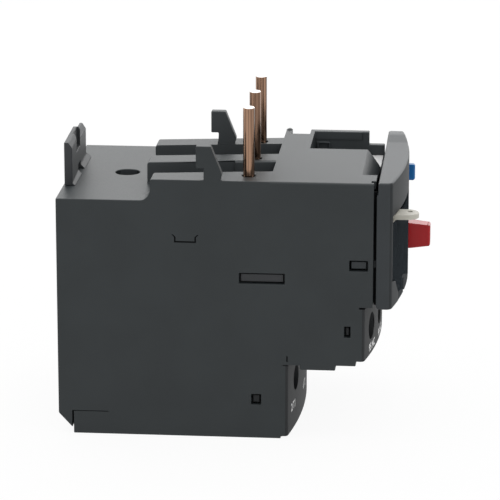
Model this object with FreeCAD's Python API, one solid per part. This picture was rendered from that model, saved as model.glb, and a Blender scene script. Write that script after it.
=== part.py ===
import FreeCAD, Part
import math
import os
from FreeCAD import Vector

# Plug-in thermal overload relay, three poles, 45 mm wide.
# Millimetres. +Z is up along the plug pins, the control face looks along -Y.
# Sizes below are taken from the left side (across), the back face (depth) and the foot (height).

# Overall
WIDTH = 45.0
WALL = 1.6
REAR_DECK = 47.9
TOP = 52.15
FOOT_RISE = 0.45
SLIP = 0.15
SEAT = 0.05

# Housing side outline
SIDE_DEPTH = 62.05
FRONT_BOTTOM = 27.2
REAR_CHAMFER_DEPTH = 2.6
REAR_CHAMFER_TOP = 4.1
REAR_CHAMFER_BOTTOM = 1.3
CAP_THICK = 1.6
CAP_START = 41.8
CAP_FRONT = 62.4
CAP_NICK = [1.2, 2.4, 61.5]
FRONT_FLOOR_THICK = 1.2
EDGE_ROUND = 0.5

# Foot plate
FOOT_REAR = 3.0
SLIT_REAR = 45.2
SLIT_FRONT = 45.45
SLIT_BOTTOM = 15.85
SLIT_TOP = 17.0
SLIT_DEEP = 0.9
FOOT_FRONT = 44.1
FOOT_PLUG_TOP = 1.6
FOOT_LUG_FRONT = 9.65
FOOT_LUG_TOP = 4.45
SEAM = 0.3

# Power terminal block
POWER_REAR = 32.0
POWER_FRONT = 45.45
POWER_TOP = 14.25
BLOCK_LIP = 1.0
POWER_SAGITTA = 1.9
AUX_SAGITTA = 2.3
NOTCH_FRONT = 47.85
NOTCH_TOP = 15.2
LIP_ROUND = 0.8
POWER_PITCH = 14.3
POWER_SCREW_HEIGHT = 10.3
POWER_BORE = 2.6
WIRE_HALF = 2.7
CAGE_HALF = 3.3
CAGE_REAR = 33.6
CAGE_FRONT = 41.0
CAGE_WALL = 0.9
CAGE_BOTTOM = 6.6
CAGE_TOP = 12.8
POWER_HEAD = 2.3
POWER_HEAD_LONG = 1.9
POWER_SHANK = 1.95
POWER_SHANK_END = 36.6
SLOT_WIDE = 0.7
SLOT_DEEP = 0.9

# Auxiliary terminal block
AUX_REAR = 45.5
AUX_FRONT = 60.4
AUX_TOP = 26.9
AUX_FIRST_STEP = 54.8
AUX_SECOND_STEP = 58.8
AUX_STEP_HEIGHT = 15.25
AUX_FRONT_BOTTOM = 16.2
AUX_PITCH = 10.6
AUX_SCREW_HEIGHT = 21.8
AUX_BORE = 2.7
AUX_WIRE_HALF = 2.4
AUX_POCKET_HALF = 3.3
AUX_POCKET_REAR = 48.6
AUX_POCKET_FRONT = 57.2
AUX_POCKET_TALL = 3.6
AUX_PLATE_TALL = 3.4
AUX_PLATE_DEPTH = 49.0
AUX_PLATE_THICK = 0.9
AUX_WASHER_DEPTH = 54.5
AUX_WASHER_THICK = 0.9
AUX_HEAD = 2.4
AUX_HEAD_LONG = 1.9
AUX_SHANK = 1.5

# Plug pins, poles and ridges
PIN_RADIUS = 1.13
PIN_SHANK = 0.9
PIN_HOLE = 1.38
PIN_DEPTH = 37.4
PIN_TOP = 65.8
PIN_PITCH = 14.3
PIN_FIRST = 4.95
STRAP_BOTTOM = 42.0
STRAP_THICK = 1.2
STRAP_HALF = 1.8
STRAP_OVER = 0.4
PIN_CHAMFER = 0.15
RIDGE_REAR = 16.4
RIDGE_SKEW = 0.142
RIDGE_EDGE_NEAR = [0.0, 13.75, 28.15]
RIDGE_EDGE_FAR = [5.15, 19.65, 33.55]
BOSS_START = 33.7
BOSS_PROUD = 0.6
RIB_THICK = 1.0
RIB_REAR = 20.0
SWEEP_RADIUS = 2.1
NOSE_ROUND = 0.5

# Contactor hooks on the top
HOOK_THICK = 1.9
HOOK_TOP = 58.9
HOOK_REAR = 27.5
HOOK_CROWN = 30.4
HOOK_NOTCH = 54.5
HOOK_STEM = 29.0
HOOK_KNEE = 32.6
HOOK_FOOT = 32.2
HOOK_LEAD = 1.1

# Rear hook plate, a little skewed in plan
PLATE_HALF = 12.2
PLATE_STEP_OFFSET = 2.1
PLATE_NEAR = WIDTH / 2 - PLATE_HALF
PLATE_FAR = WIDTH / 2 + PLATE_HALF
PLATE_STEP = WIDTH / 2 + PLATE_STEP_OFFSET
PLATE_REAR_NEAR = 0.35
PLATE_REAR_FAR = 0.05
PLATE_FRONT_NEAR = 1.95
PLATE_FRONT_FAR = 1.35
PLATE_TOP = 56.6
PLATE_LOW_TOP = 55.0
PLATE_BEVEL = 0.7
PLATE_BEVEL_DROP = 1.1
PLATE_FOOT = 0.85
PLATE_SLOT_HALF = 2.1
PLATE_SLOT_TOP = 49.6
PLATE_SLOT_DEEP = 0.5
RECESS_NEAR = 18.3
RECESS_FAR = 24.3
RECESS_BOTTOM = 52.8
RECESS_DEEP = 0.7

# Deck hole behind the ridges
DECK_HOLE_RADIUS = 2.45
DECK_HOLE_DEPTH = 11.4

# Top cap and its well
WELL_NEAR = 28.4
WELL_REAR = 47.7
WELL_FLOOR = 47.4
WELL_WALL = 0.9
WELL_FRONT = 58.5
LATCH_REAR = 48.1
LATCH_FRONT = 50.9
LATCH_TOP = 50.1
LATCH_PROUD = 0.5
LATCH_BAR = 0.4
ROLL_NEAR = 7.2
ROLL_START = 59.3
ROLL_DROP = 3.75
ROLL_BELLY = 1.65
ROLL_BELLY_DROP = 1.55
FAR_STEP_DEPTH = 58.85
FAR_STEP_HEIGHT = 49.5
CORNER_CUT = WIDTH - 4.0
CORNER_LEVEL = 50.9
NUB_RADIUS = 0.6
NUB_LONG = 1.2
NUB_DROP = 0.35

# Windows and their latch tongues: rear, front, bottom, top
FRAME_WINDOW = [35.9, 44.8, 31.6, 33.7]
BEZEL_WINDOW = [57.4, 61.0, 34.6, 36.7]
AUX_WINDOW = [56.5, 57.7, 21.1, 23.3]
POWER_WINDOW = [38.3, 40.2, 6.9, 9.0]
TONGUE_GAP = 0.3
TONGUE_RECESS = 0.7

# Mechanism frame and heater chamber
FRAME_REAR = 43.9
FRAME_FRONT = 45.3
FRAME_BOTTOM = NOTCH_TOP + SEAT
EAR_THICK = 1.0
EAR_MARGIN = 1.5
GATE_NEAR = 1.8
GATE_FAR = 2.2
GATE_OVER = 1.0
BIMETAL_DEPTH = 30.0
BIMETAL_WIDE = 4.0
BIMETAL_THICK = 0.8
BIMETAL_BOTTOM = 14.3
HEATER_BOTTOM = 20.0
HEATER_TOP = 40.4
HEATER_TURNS = 8
HEATER_SLEEVE = 0.5
HEATER_RIBBON = 0.45
RIBBON_SHARE = 0.6
RIBBON_START = 0.2
LOAD_BAR_HEIGHT = 20.4
LOAD_THICK = 0.8
LOAD_HALF = 1.5
LOAD_OVER = 1.0
LOAD_FOOT = 0.4
RIB_BOTTOM = LOAD_BAR_HEIGHT + LOAD_THICK + SEAM

# Trip slider, lever and contacts
TRAVEL = 1.2
SLIDER_REAR = 25.9
SLIDER_THICK = 1.0
SLIDER_BOTTOM = 15.0
SLIDER_TALL = 2.0
SLIDER_START = 2.0
GUIDE_NEAR = 9.0
FINGER_LONG = 3.1
FINGER_THICK = 0.8
FINGER_GAP = 0.15
RETURN_GAP = 1.5
LEVER_INSET = 3.7
LEVER_GAP = 3.0
LEVER_ACROSS = WIDTH - LEVER_INSET
LEVER_DEPTH = BIMETAL_DEPTH + BIMETAL_WIDE / 2 + SEAT + HEATER_SLEEVE + HEATER_RIBBON + LEVER_GAP
SLIDER_FAR = LEVER_ACROSS - 0.7
RETURN_FAR = LEVER_ACROSS - 4.7
GUIDE_FAR = RETURN_FAR
LEVER_HUB = 1.4
LEVER_PIN = 0.8
LEVER_TOP = 38.0
PIN_SEAT = 2.0
ARM_THICK = 1.0
ARM_REACH = 9.0
ARM_TIP = 0.8
UPPER_ARM_BOTTOM = 33.2
UPPER_ARM_TALL = 2.6
CONTACT_HEIGHT = 32.4
CONTACT_TALL = 3.2
STRIP_HALF = 1.2
BRIDGE_THICK = 0.6
CONTACT_GAP = 0.1
CARRIER_BAR_DEPTH = FRAME_FRONT + TRAVEL + SLIP
CARRIER_BAR_THICK = 1.0
CARRIER_START = 3.4
CARRIER_HALF = 1.0
CARRIER_TAIL = 0.6
CARRIER_PUSH = 0.9
CLOSED_ARM = 3.8
OPEN_ARM_NEAR = 2.2
OPEN_ARM_FAR = 4.2
BRIDGE_DROP = 0.6

# Bezel
BEZEL_REAR = 62.6
BEZEL_TOP_REAR = 62.85
BEZEL_TOP_DEEP = 2.4
BEZEL_BOTTOM = 26.95
BEZEL_TOP = 52.3
BEZEL_CROWN = 67.85
BEZEL_RADIUS = 110.0
BEZEL_RIM = 2.2
BEZEL_SKIN = 2.0
BEZEL_RING = 0.7
BEZEL_PAD_RAMP = 4.9
BEZEL_PAD_WIDE = 3.4
BEZEL_PAD_INSET = 2.4
BEZEL_PAD_END = WIDTH - BEZEL_PAD_INSET
BEZEL_PAD_FULL = BEZEL_PAD_END - BEZEL_PAD_WIDE
BEZEL_PAD_START = BEZEL_PAD_FULL - BEZEL_PAD_RAMP
BEZEL_PAD_RISE = 0.4
BEZEL_SILL_RISE = 0.3
BEZEL_CORNER = 1.2
BEZEL_TURN = 0.8
ARM_WIDE = 0.9
OPEN_NEAR = 1.3
OPEN_FAR = 26.8
OPEN_TOP = 45.4
OPEN_LAP = 1.2
OPEN_BOTTOM = 33.2
CHEEK_ACROSS = [1.3, 3.9, 5.3, 6.9]
CHEEK_HEIGHT = [32.3, 31.8, 30.2, 28.65]
POCKET_REAR = 64.4
POCKET_TOP = 30.4

# Control deck behind the bezel
DECK_REAR = 60.4
DECK_FRONT = 61.8
SHELF_THICK = 1.2

# Clear cover and its rod
COVER_THICK = 0.8
COVER_GAP = 0.2
COVER_BOTTOM = BEZEL_BOTTOM + 0.15
HINGE_DEPTH = 66.3
HINGE_HEIGHT = 28.2
HINGE_ROD = 0.5
KNUCKLE = 1.0
KNUCKLE_NEAR = 14.3
KNUCKLE_FAR = 23.9
EAR_WIDE = 1.5
EAR_RADIUS = 1.0
EAR_CLEAR = 0.35
TAB_NEAR = 3.3
TAB_FAR = 8.0
TAB_THICK = 1.0
TAB_REAR = 65.2
TAB_FRONT = 70.6
TAB_HOLE = 0.5
TAB_HOLE_ACROSS = 6.3
TAB_HOLE_DEPTH = 68.8
TAB_TOP = OPEN_TOP - 0.15
COVER_TOP = TAB_TOP - TAB_THICK

# Controls
DIAL_ACROSS = 15.2
DIAL_HEIGHT = 39.7
DIAL_RADIUS = 5.2
DIAL_REAR = 62.1
DIAL_FRONT = 63.9
DIAL_SHAFT = 2.0
DIAL_SHAFT_END = 56.0
DIAL_SLOT_HALF = 0.6
DIAL_SLOT_LONG = 3.2
DIAL_SLOT_SHORT = 2.2
DIAL_SLOT_DEEP = 0.9
CAM_RADIUS = 3.4
CAM_OFFSET = 0.9
CAM_LONG = 2.0
BUTTON_INSET = 8.2
BUTTON_ACROSS = WIDTH - BUTTON_INSET
STOP_RISE = 5.4
STOP_HEIGHT = FRONT_BOTTOM + STOP_RISE
STOP_WIDE = 3.6
STOP_TALL = 5.3
STOP_TIP = 71.9
STOP_TAPER = 0.5
STOP_STEM = 1.2
STOP_COLLAR_FRONT = 64.4
STOP_COLLAR_THICK = 0.9
STOP_COLLAR_WIDE = 0.8
STOP_COLLAR_HALF = 2.2
STOP_ROUND = 0.45
STOP_SPRING = 0.7
CUP_CLEAR = 1.3
RESET_DROP = 6.5
RESET_HEIGHT = TOP - RESET_DROP
RESET_RADIUS = 2.8
RESET_FACE = 67.0
RESET_TIP = 68.6
RESET_GRIP_WIDE = 1.6
RESET_STEM = 0.7
RESET_REAR = 64.25
RESET_SPIGOT = 0.5
RESET_SPIGOT_END = 65.85
RESET_SHOULDER = 64.05
RESET_SPRING = 0.6
GRIP_SET = 0.5
GRIP_HALF = 1.65
GRIP_ROUND = 0.45
PLUNGER_BACK = 3.5
TEST_ACROSS = 23.6
TEST_HEIGHT = 39.7
TEST_HALF = 1.1
TEST_FRONT = 63.9
TEST_COLLAR = 0.5
TEST_COLLAR_THICK = 0.8
TEST_COLLAR_GAP = 1.5
FLAG_HEIGHT = 43.4
FLAG_TALL = 1.8
FLAG_WIDE = 3.0
FLAG_THICK = 0.8
FLAG_OVER = 0.4
FLAG_TRAVEL = 2.4
SHAFT_GAP = 0.05
PORT_GAP = 0.25
CUP_WALL = 0.7
CUP_FLOOR = 1.0
CUP_LONG = 6.0
SPRING_WIRE = 0.24
STOP_TURNS = 4
RESET_TURNS = 2

HALF_WIDTH = WIDTH / 2
HALF_DEPTH = STOP_TIP / 2
INNER_NEAR = WALL
INNER_FAR = WIDTH - WALL
MIDDLE = WIDTH / 2
FIT_NEAR = INNER_NEAR + SLIP
FIT_FAR = INNER_FAR - SLIP
POLES = [PIN_FIRST + i * PIN_PITCH for i in range(3)]
POWER_PLACES = [MIDDLE + (i - 1) * POWER_PITCH for i in range(3)]
AUX_PLACES = [MIDDLE + (i - 1.5) * AUX_PITCH for i in range(4)]


def spot(across, depth, height):
    return Vector(across - HALF_WIDTH, HALF_DEPTH - depth, height)


def block(near, far, rear, front, bottom, top):
    return Part.makeBox(far - near, front - rear, top - bottom, spot(near, front, bottom))


def prism(corners, run):
    wire = Part.makePolygon(corners + [corners[0]])
    return Part.Face(wire).extrude(run)


def side_prism(outline, near, far):
    """Outline of (depth, height) carried across the width."""
    corners = [spot(near, depth, height) for depth, height in outline]
    return prism(corners, Vector(far - near, 0, 0))


def plan_prism(outline, bottom, top):
    """Outline of (across, depth) carried upwards."""
    corners = [spot(across, depth, bottom) for across, depth in outline]
    return prism(corners, Vector(0, 0, top - bottom))


def front_prism(outline, rear, front):
    """Outline of (across, height) carried forwards."""
    corners = [spot(across, rear, height) for across, height in outline]
    return prism(corners, Vector(0, rear - front, 0))


def post(across, depth, radius, bottom, top):
    return Part.makeCylinder(radius, top - bottom, spot(across, depth, bottom))


def shaft(across, height, radius, rear, front):
    return Part.makeCylinder(radius, front - rear, spot(across, rear, height), Vector(0, -1, 0))


def axle(depth, height, radius, near, far):
    return Part.makeCylinder(radius, far - near, spot(near, depth, height), Vector(1, 0, 0))


def joined(shapes):
    whole = shapes[0]
    if len(shapes) > 1:
        whole = whole.fuse(shapes[1:])
    return whole.removeSplitter()


def group(shapes):
    return Part.makeCompound(shapes)


def arc_prism(near, far, rear, crown, radius, bottom, top):
    """Slab whose front is an arc in plan, crowned over the middle of the relay."""
    centre = crown - radius
    depth_near = centre + math.sqrt(radius ** 2 - (near - MIDDLE) ** 2)
    depth_far = centre + math.sqrt(radius ** 2 - (far - MIDDLE) ** 2)
    middle = (near + far) / 2
    depth_middle = centre + math.sqrt(radius ** 2 - (middle - MIDDLE) ** 2)
    front = Part.Arc(
        spot(near, depth_near, bottom),
        spot(middle, depth_middle, bottom),
        spot(far, depth_far, bottom),
    ).toShape()
    left = Part.makeLine(spot(near, rear, bottom), spot(near, depth_near, bottom))
    right = Part.makeLine(spot(far, depth_far, bottom), spot(far, rear, bottom))
    back = Part.makeLine(spot(far, rear, bottom), spot(near, rear, bottom))
    face = Part.Face(Part.Wire([left, front, right, back]))
    return face.extrude(Vector(0, 0, top - bottom))


def mirrored(shape):
    """The same shape on the far side of the relay."""
    return shape.mirror(Vector(0, 0, 0), Vector(1, 0, 0))


def both_sides(shape):
    return [shape, mirrored(shape)]


def edges_at(shape, wanted):
    return [edge for edge in shape.Edges if wanted(edge)]


def lip_front(front, sagitta, bottom, top):
    """Curved, full width front of a terminal block, rounded at its two ends."""
    radius = (HALF_WIDTH ** 2 + sagitta ** 2) / (2 * sagitta)
    lip = arc_prism(0, WIDTH, front - BLOCK_LIP, front + sagitta, radius, bottom, top)

    def end(edge):
        low = edge.BoundBox
        upright = low.ZLength > (top - bottom) / 2
        return upright and low.YMax < HALF_DEPTH - front + BLOCK_LIP / 2

    return lip.makeFillet(LIP_ROUND, edges_at(lip, end))


def window_hole(window):
    rear, front, bottom, top = window
    return both_sides(block(-SLIP, INNER_NEAR + SLIP, rear, front, bottom, top))


def tongue(window):
    """Snap tongue that stands in a side window, a little below the surface."""
    rear, front, bottom, top = window
    return block(
        TONGUE_RECESS, FIT_NEAR,
        rear + TONGUE_GAP, front - TONGUE_GAP,
        bottom + TONGUE_GAP, top - TONGUE_GAP,
    )


def side_outline():
    """Housing side without the foot plate and the two terminal lips."""
    power_lip = POWER_FRONT - BLOCK_LIP
    aux_lip = AUX_FRONT - BLOCK_LIP
    return [
        (REAR_CHAMFER_DEPTH, REAR_CHAMFER_BOTTOM),
        (0, REAR_CHAMFER_TOP),
        (0, REAR_DECK),
        (CAP_START, REAR_DECK),
        (CAP_START, TOP - CAP_THICK),
        (SIDE_DEPTH, TOP - CAP_THICK),
        (SIDE_DEPTH, FRONT_BOTTOM),
        (aux_lip, FRONT_BOTTOM),
        (aux_lip, AUX_FRONT_BOTTOM),
        (AUX_SECOND_STEP, AUX_FRONT_BOTTOM),
        (AUX_SECOND_STEP, AUX_STEP_HEIGHT),
        (AUX_FIRST_STEP, AUX_STEP_HEIGHT),
        (AUX_FIRST_STEP, POWER_TOP),
        (NOTCH_FRONT, POWER_TOP),
        (NOTCH_FRONT, NOTCH_TOP),
        (power_lip, NOTCH_TOP),
        (power_lip, FOOT_RISE),
        (FOOT_REAR, FOOT_RISE),
    ]


def ridge(index):
    """One finger of the top, skewed in plan; the near one has a hollow sweep at its rear."""
    near = RIDGE_EDGE_NEAR[index]
    far = RIDGE_EDGE_FAR[index]
    slide = RIDGE_SKEW * (CAP_START - RIDGE_REAR)
    near_end = near + slide
    if index == 0:
        near_end = near
    plan = [
        (near, RIDGE_REAR),
        (near_end, CAP_START),
        (far + slide, CAP_START),
        (far, RIDGE_REAR),
    ]
    bar = plan_prism(plan, REAR_DECK - SLIP, TOP)
    if index > 0:
        return bar.makeFillet(NOSE_ROUND, edges_at(bar, nose_edge))
    return bar.cut(sweep())


def nose_edge(edge):
    box = edge.BoundBox
    return abs(box.ZMin - TOP) < 0.01 and abs(box.YMin - (HALF_DEPTH - RIDGE_REAR)) < 0.01


def sweep():
    """Hollow that rises from the deck to the rounded top edge of the near finger."""
    radius = SWEEP_RADIUS
    front = RIDGE_REAR + radius
    shoulder = REAR_DECK + radius
    lean = math.sqrt(0.5)
    hollow = Part.Arc(
        spot(-1, RIDGE_REAR, REAR_DECK),
        spot(-1, RIDGE_REAR + radius * lean, shoulder - radius * lean),
        spot(-1, front, shoulder),
    ).toShape()
    upright = Part.makeLine(spot(-1, front, shoulder), spot(-1, front, TOP - NOSE_ROUND))
    nose = Part.Arc(
        spot(-1, front, TOP - NOSE_ROUND),
        spot(-1, front + NOSE_ROUND * (1 - lean), TOP - NOSE_ROUND * (1 - lean)),
        spot(-1, front + NOSE_ROUND, TOP),
    ).toShape()
    rear = RIDGE_REAR - 1
    outline = [
        hollow,
        upright,
        nose,
        Part.makeLine(spot(-1, front + NOSE_ROUND, TOP), spot(-1, rear, TOP)),
        Part.makeLine(spot(-1, rear, TOP), spot(-1, rear, REAR_DECK)),
        Part.makeLine(spot(-1, rear, REAR_DECK), spot(-1, RIDGE_REAR, REAR_DECK)),
    ]
    return Part.Face(Part.Wire(outline)).extrude(Vector(WIDTH + 2, 0, 0))


def ridge_boss():
    """Low pad on the flank of the middle finger, beside its pin."""
    near = RIDGE_EDGE_NEAR[1] + RIDGE_SKEW * (BOSS_START - RIDGE_REAR)
    slide = RIDGE_SKEW * (CAP_START - BOSS_START)
    plan = [
        (near - BOSS_PROUD, BOSS_START),
        (near + slide - BOSS_PROUD, CAP_START),
        (near + slide + 1, CAP_START),
        (near + 1, BOSS_START),
    ]
    return plan_prism(plan, REAR_DECK - SLIP, TOP - SEAT)


def contactor_hook(near):
    outline = [
        (HOOK_REAR, HOOK_TOP),
        (HOOK_CROWN, HOOK_TOP),
        (HOOK_KNEE, HOOK_NOTCH - HOOK_LEAD),
        (HOOK_FOOT, TOP - SLIP),
        (HOOK_STEM, TOP - SLIP),
        (HOOK_STEM, HOOK_NOTCH),
        (HOOK_REAR, HOOK_NOTCH),
    ]
    return side_prism(outline, near, near + HOOK_THICK)


def score_line():
    """Fine U shaped score on the near side, under the hook, its two ends flared."""
    width = 0.3
    rear = 23.5
    front = 27.2
    high = 40.7
    low = 39.9
    deep = 0.35
    flare = 0.5
    rear_flare = [
        (rear - width, high), (rear, high),
        (rear - flare, high + flare), (rear - flare - width, high + flare),
    ]
    front_flare = [
        (front, high), (front + width, high),
        (front + flare + width, high + flare), (front + flare, high + flare),
    ]
    return joined([
        block(-SLIP, deep, rear, front, low - width, low),
        block(-SLIP, deep, rear - width, rear, low - width, high),
        block(-SLIP, deep, front, front + width, low - width, high),
        side_prism(rear_flare, -SLIP, deep),
        side_prism(front_flare, -SLIP, deep),
    ])


def housing():
    shell = side_prism(side_outline(), 0, WIDTH)
    deck_under = REAR_DECK - WALL
    chamber = [
        (REAR_CHAMFER_DEPTH + WALL, 0),
        (REAR_CHAMFER_DEPTH + WALL, REAR_CHAMFER_BOTTOM + WALL / 2),
        (WALL, REAR_CHAMFER_TOP + WALL),
        (WALL, deck_under),
        (CAP_START + WALL, deck_under),
        (CAP_START + WALL, TOP),
        (SIDE_DEPTH + 1, TOP),
        (SIDE_DEPTH + 1, FRONT_BOTTOM + FRONT_FLOOR_THICK),
        (AUX_REAR - SLIP, FRONT_BOTTOM + FRONT_FLOOR_THICK),
        (AUX_REAR - SLIP, FRONT_BOTTOM),
        (SIDE_DEPTH + 1, FRONT_BOTTOM),
        (SIDE_DEPTH + 1, 0),
    ]
    shell = shell.cut(side_prism(chamber, INNER_NEAR, INNER_FAR))
    far_step = block(
        INNER_FAR - 1, WIDTH + 1, FAR_STEP_DEPTH, SIDE_DEPTH + 1, FAR_STEP_HEIGHT, TOP + 1)
    foot_notch = both_sides(block(
        -1, INNER_NEAR + 1,
        FOOT_REAR - SEAM, FOOT_LUG_FRONT + SEAM,
        0, FOOT_LUG_TOP + SEAM,
    ))
    cuts = [far_step] + foot_notch
    for window in (FRAME_WINDOW, BEZEL_WINDOW, AUX_WINDOW, POWER_WINDOW):
        cuts += window_hole(window)
    strip_front = AUX_PLATE_DEPTH + AUX_PLATE_THICK
    for place in AUX_PLACES:
        cuts.append(block(
            place - STRIP_HALF - SLIP, place + STRIP_HALF + SLIP,
            AUX_PLATE_DEPTH - SLIP, strip_front + SLIP,
            FRONT_BOTTOM - 1, FRONT_BOTTOM + FRONT_FLOOR_THICK + 1,
        ))
    ribs = []
    for left, right in zip(POLES[:-1], POLES[1:]):
        middle = (left + right) / 2
        ribs.append(block(
            middle - RIB_THICK / 2, middle + RIB_THICK / 2,
            RIB_REAR, CAP_START + WALL, RIB_BOTTOM, deck_under + SLIP,
        ))
    far_hook = RIDGE_EDGE_NEAR[2] + RIDGE_SKEW * (HOOK_FOOT - RIDGE_REAR)
    hooks = [contactor_hook(0), contactor_hook(far_hook)]
    fingers = [ridge(index) for index in range(3)]
    body = shell.cut(cuts)
    body = joined([body, ridge_boss()] + ribs + fingers + hooks)
    holes = [post(MIDDLE, DECK_HOLE_DEPTH, DECK_HOLE_RADIUS, deck_under - 1, REAR_DECK + 1)]
    for pole in POLES:
        holes.append(post(pole, PIN_DEPTH, PIN_HOLE, deck_under - 1, TOP + 1))
    holes.append(score_line())
    holes += both_sides(block(-SLIP, SLIT_DEEP, SLIT_REAR, SLIT_FRONT, SLIT_BOTTOM, SLIT_TOP))
    return body.cut(holes)


def foot_cover():
    """Bottom cover that carries the relay, with a guide rib for the sliders."""
    flange = block(0, WIDTH, FOOT_REAR, FOOT_FRONT, 0, FOOT_RISE)
    plug_front = POWER_REAR - SLIP
    plug = block(
        FIT_NEAR, FIT_FAR, REAR_CHAMFER_DEPTH + WALL + SLIP, plug_front,
        FOOT_RISE, FOOT_PLUG_TOP)
    lugs = both_sides(block(
        0, INNER_NEAR + 1 - SLIP, FOOT_REAR, FOOT_LUG_FRONT, FOOT_RISE, FOOT_LUG_TOP))
    rib = block(
        GUIDE_NEAR, GUIDE_FAR,
        SLIDER_REAR, SLIDER_REAR + SLIDER_THICK,
        FOOT_PLUG_TOP, SLIDER_BOTTOM - SLIP)
    whole = joined([flange, plug, rib] + lugs)
    ports = []
    for place in POWER_PLACES:
        ports.append(block(
            place - WIRE_HALF, place + WIRE_HALF,
            CAGE_REAR + CAGE_WALL, CAGE_FRONT - CAGE_WALL, -1, FOOT_PLUG_TOP + 1))
    return whole.cut(ports)


def power_block():
    """Insulating block of the three load terminals."""
    body = block(
        FIT_NEAR, FIT_FAR, POWER_REAR, POWER_FRONT - BLOCK_LIP + SLIP,
        FOOT_RISE, POWER_TOP - SLIP)
    lip = lip_front(POWER_FRONT, POWER_SAGITTA, FOOT_RISE, NOTCH_TOP - SLIP)
    tongues = both_sides(tongue(POWER_WINDOW))
    whole = joined([body, lip] + tongues)
    cuts = []
    pocket_half = CAGE_HALF + SLIP
    for place in POWER_PLACES:
        cuts.append(block(
            place - pocket_half, place + pocket_half,
            CAGE_REAR - SLIP, CAGE_FRONT + SLIP, CAGE_BOTTOM, POWER_TOP + 1))
        cuts.append(block(
            place - WIRE_HALF, place + WIRE_HALF,
            CAGE_REAR + CAGE_WALL, CAGE_FRONT - CAGE_WALL, FOOT_RISE - 1, CAGE_BOTTOM + 1))
        cuts.append(shaft(
            place, POWER_SCREW_HEIGHT, POWER_BORE, CAGE_FRONT - 1, POWER_FRONT + 3))
    cuts.append(post(LEVER_ACROSS, LEVER_DEPTH, LEVER_PIN, POWER_TOP - PIN_SEAT - SLIP, POWER_TOP + 1))
    return whole.cut(cuts)


def power_cages():
    cages = []
    for place in POWER_PLACES:
        outer = block(
            place - CAGE_HALF, place + CAGE_HALF, CAGE_REAR, CAGE_FRONT, CAGE_BOTTOM, CAGE_TOP)
        inner = block(
            place - CAGE_HALF + CAGE_WALL, place + CAGE_HALF - CAGE_WALL,
            CAGE_REAR + CAGE_WALL, CAGE_FRONT - CAGE_WALL, CAGE_BOTTOM - 1, CAGE_TOP + 1)
        thread = shaft(
            place, POWER_SCREW_HEIGHT, POWER_SHANK, CAGE_FRONT - CAGE_WALL - 1, CAGE_FRONT + 1)
        cages.append(outer.cut([inner, thread]))
    return group(cages)


def slotted_screw(place, height, head, head_long, shank, shank_end, seat):
    """Cheese head screw seen from the front, with a cross slot."""
    top = seat + head_long
    screw = joined([
        shaft(place, height, head, seat, top),
        shaft(place, height, shank, shank_end, seat),
    ])
    reach = head * 0.8
    across = block(
        place - reach, place + reach, top - SLOT_DEEP, top + 1,
        height - SLOT_WIDE / 2, height + SLOT_WIDE / 2)
    upright = block(
        place - SLOT_WIDE / 2, place + SLOT_WIDE / 2, top - SLOT_DEEP, top + 1,
        height - reach, height + reach)
    return screw.cut([across, upright])


def power_screws():
    return group([
        slotted_screw(
            place, POWER_SCREW_HEIGHT, POWER_HEAD, POWER_HEAD_LONG,
            POWER_SHANK, POWER_SHANK_END, CAGE_FRONT)
        for place in POWER_PLACES
    ])


def aux_block():
    """Insulating block of the four auxiliary terminals, stepped underneath."""
    lip_start = AUX_FRONT - BLOCK_LIP
    outline = [
        (AUX_REAR, NOTCH_TOP),
        (AUX_REAR, AUX_TOP),
        (lip_start + SLIP, AUX_TOP),
        (lip_start + SLIP, AUX_FRONT_BOTTOM),
        (AUX_SECOND_STEP, AUX_FRONT_BOTTOM),
        (AUX_SECOND_STEP, AUX_STEP_HEIGHT),
        (AUX_FIRST_STEP, AUX_STEP_HEIGHT),
        (AUX_FIRST_STEP, POWER_TOP),
        (NOTCH_FRONT, POWER_TOP),
        (NOTCH_FRONT, NOTCH_TOP),
    ]
    body = side_prism(outline, FIT_NEAR, FIT_FAR)
    lip = lip_front(AUX_FRONT, AUX_SAGITTA, AUX_FRONT_BOTTOM, AUX_TOP)
    whole = joined([body, lip] + both_sides(tongue(AUX_WINDOW)))
    cuts = []
    strip_front = AUX_PLATE_DEPTH + AUX_PLATE_THICK
    for place in AUX_PLACES:
        cuts.append(block(
            place - AUX_POCKET_HALF, place + AUX_POCKET_HALF,
            AUX_POCKET_REAR, AUX_POCKET_FRONT, AUX_SCREW_HEIGHT - AUX_POCKET_TALL,
            AUX_SCREW_HEIGHT + AUX_POCKET_TALL))
        cuts.append(block(
            place - AUX_WIRE_HALF, place + AUX_WIRE_HALF,
            strip_front + SLIP, AUX_WASHER_DEPTH - SLIP, POWER_TOP - 1, AUX_SCREW_HEIGHT))
        cuts.append(shaft(
            place, AUX_SCREW_HEIGHT, AUX_BORE, AUX_POCKET_FRONT - 1, AUX_FRONT + 3))
        cuts.append(block(
            place - STRIP_HALF - SLIP, place + STRIP_HALF + SLIP,
            AUX_PLATE_DEPTH - SLIP, strip_front + SLIP, AUX_SCREW_HEIGHT, AUX_TOP + 1))
    return whole.cut(cuts)


def contact_strip(place):
    """Terminal plate with the fixed contact strip that rises from it."""
    plate = block(
        place - AUX_POCKET_HALF + SLIP, place + AUX_POCKET_HALF - SLIP,
        AUX_PLATE_DEPTH, AUX_PLATE_DEPTH + AUX_PLATE_THICK,
        AUX_SCREW_HEIGHT - AUX_PLATE_TALL, AUX_SCREW_HEIGHT + AUX_PLATE_TALL)
    strip = block(
        place - STRIP_HALF, place + STRIP_HALF,
        AUX_PLATE_DEPTH, AUX_PLATE_DEPTH + AUX_PLATE_THICK,
        AUX_SCREW_HEIGHT, CONTACT_HEIGHT + CONTACT_TALL)
    hole = shaft(
        place, AUX_SCREW_HEIGHT, AUX_SHANK,
        AUX_PLATE_DEPTH - 1, AUX_PLATE_DEPTH + AUX_PLATE_THICK + 1)
    return joined([plate, strip]).cut(hole)


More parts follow.
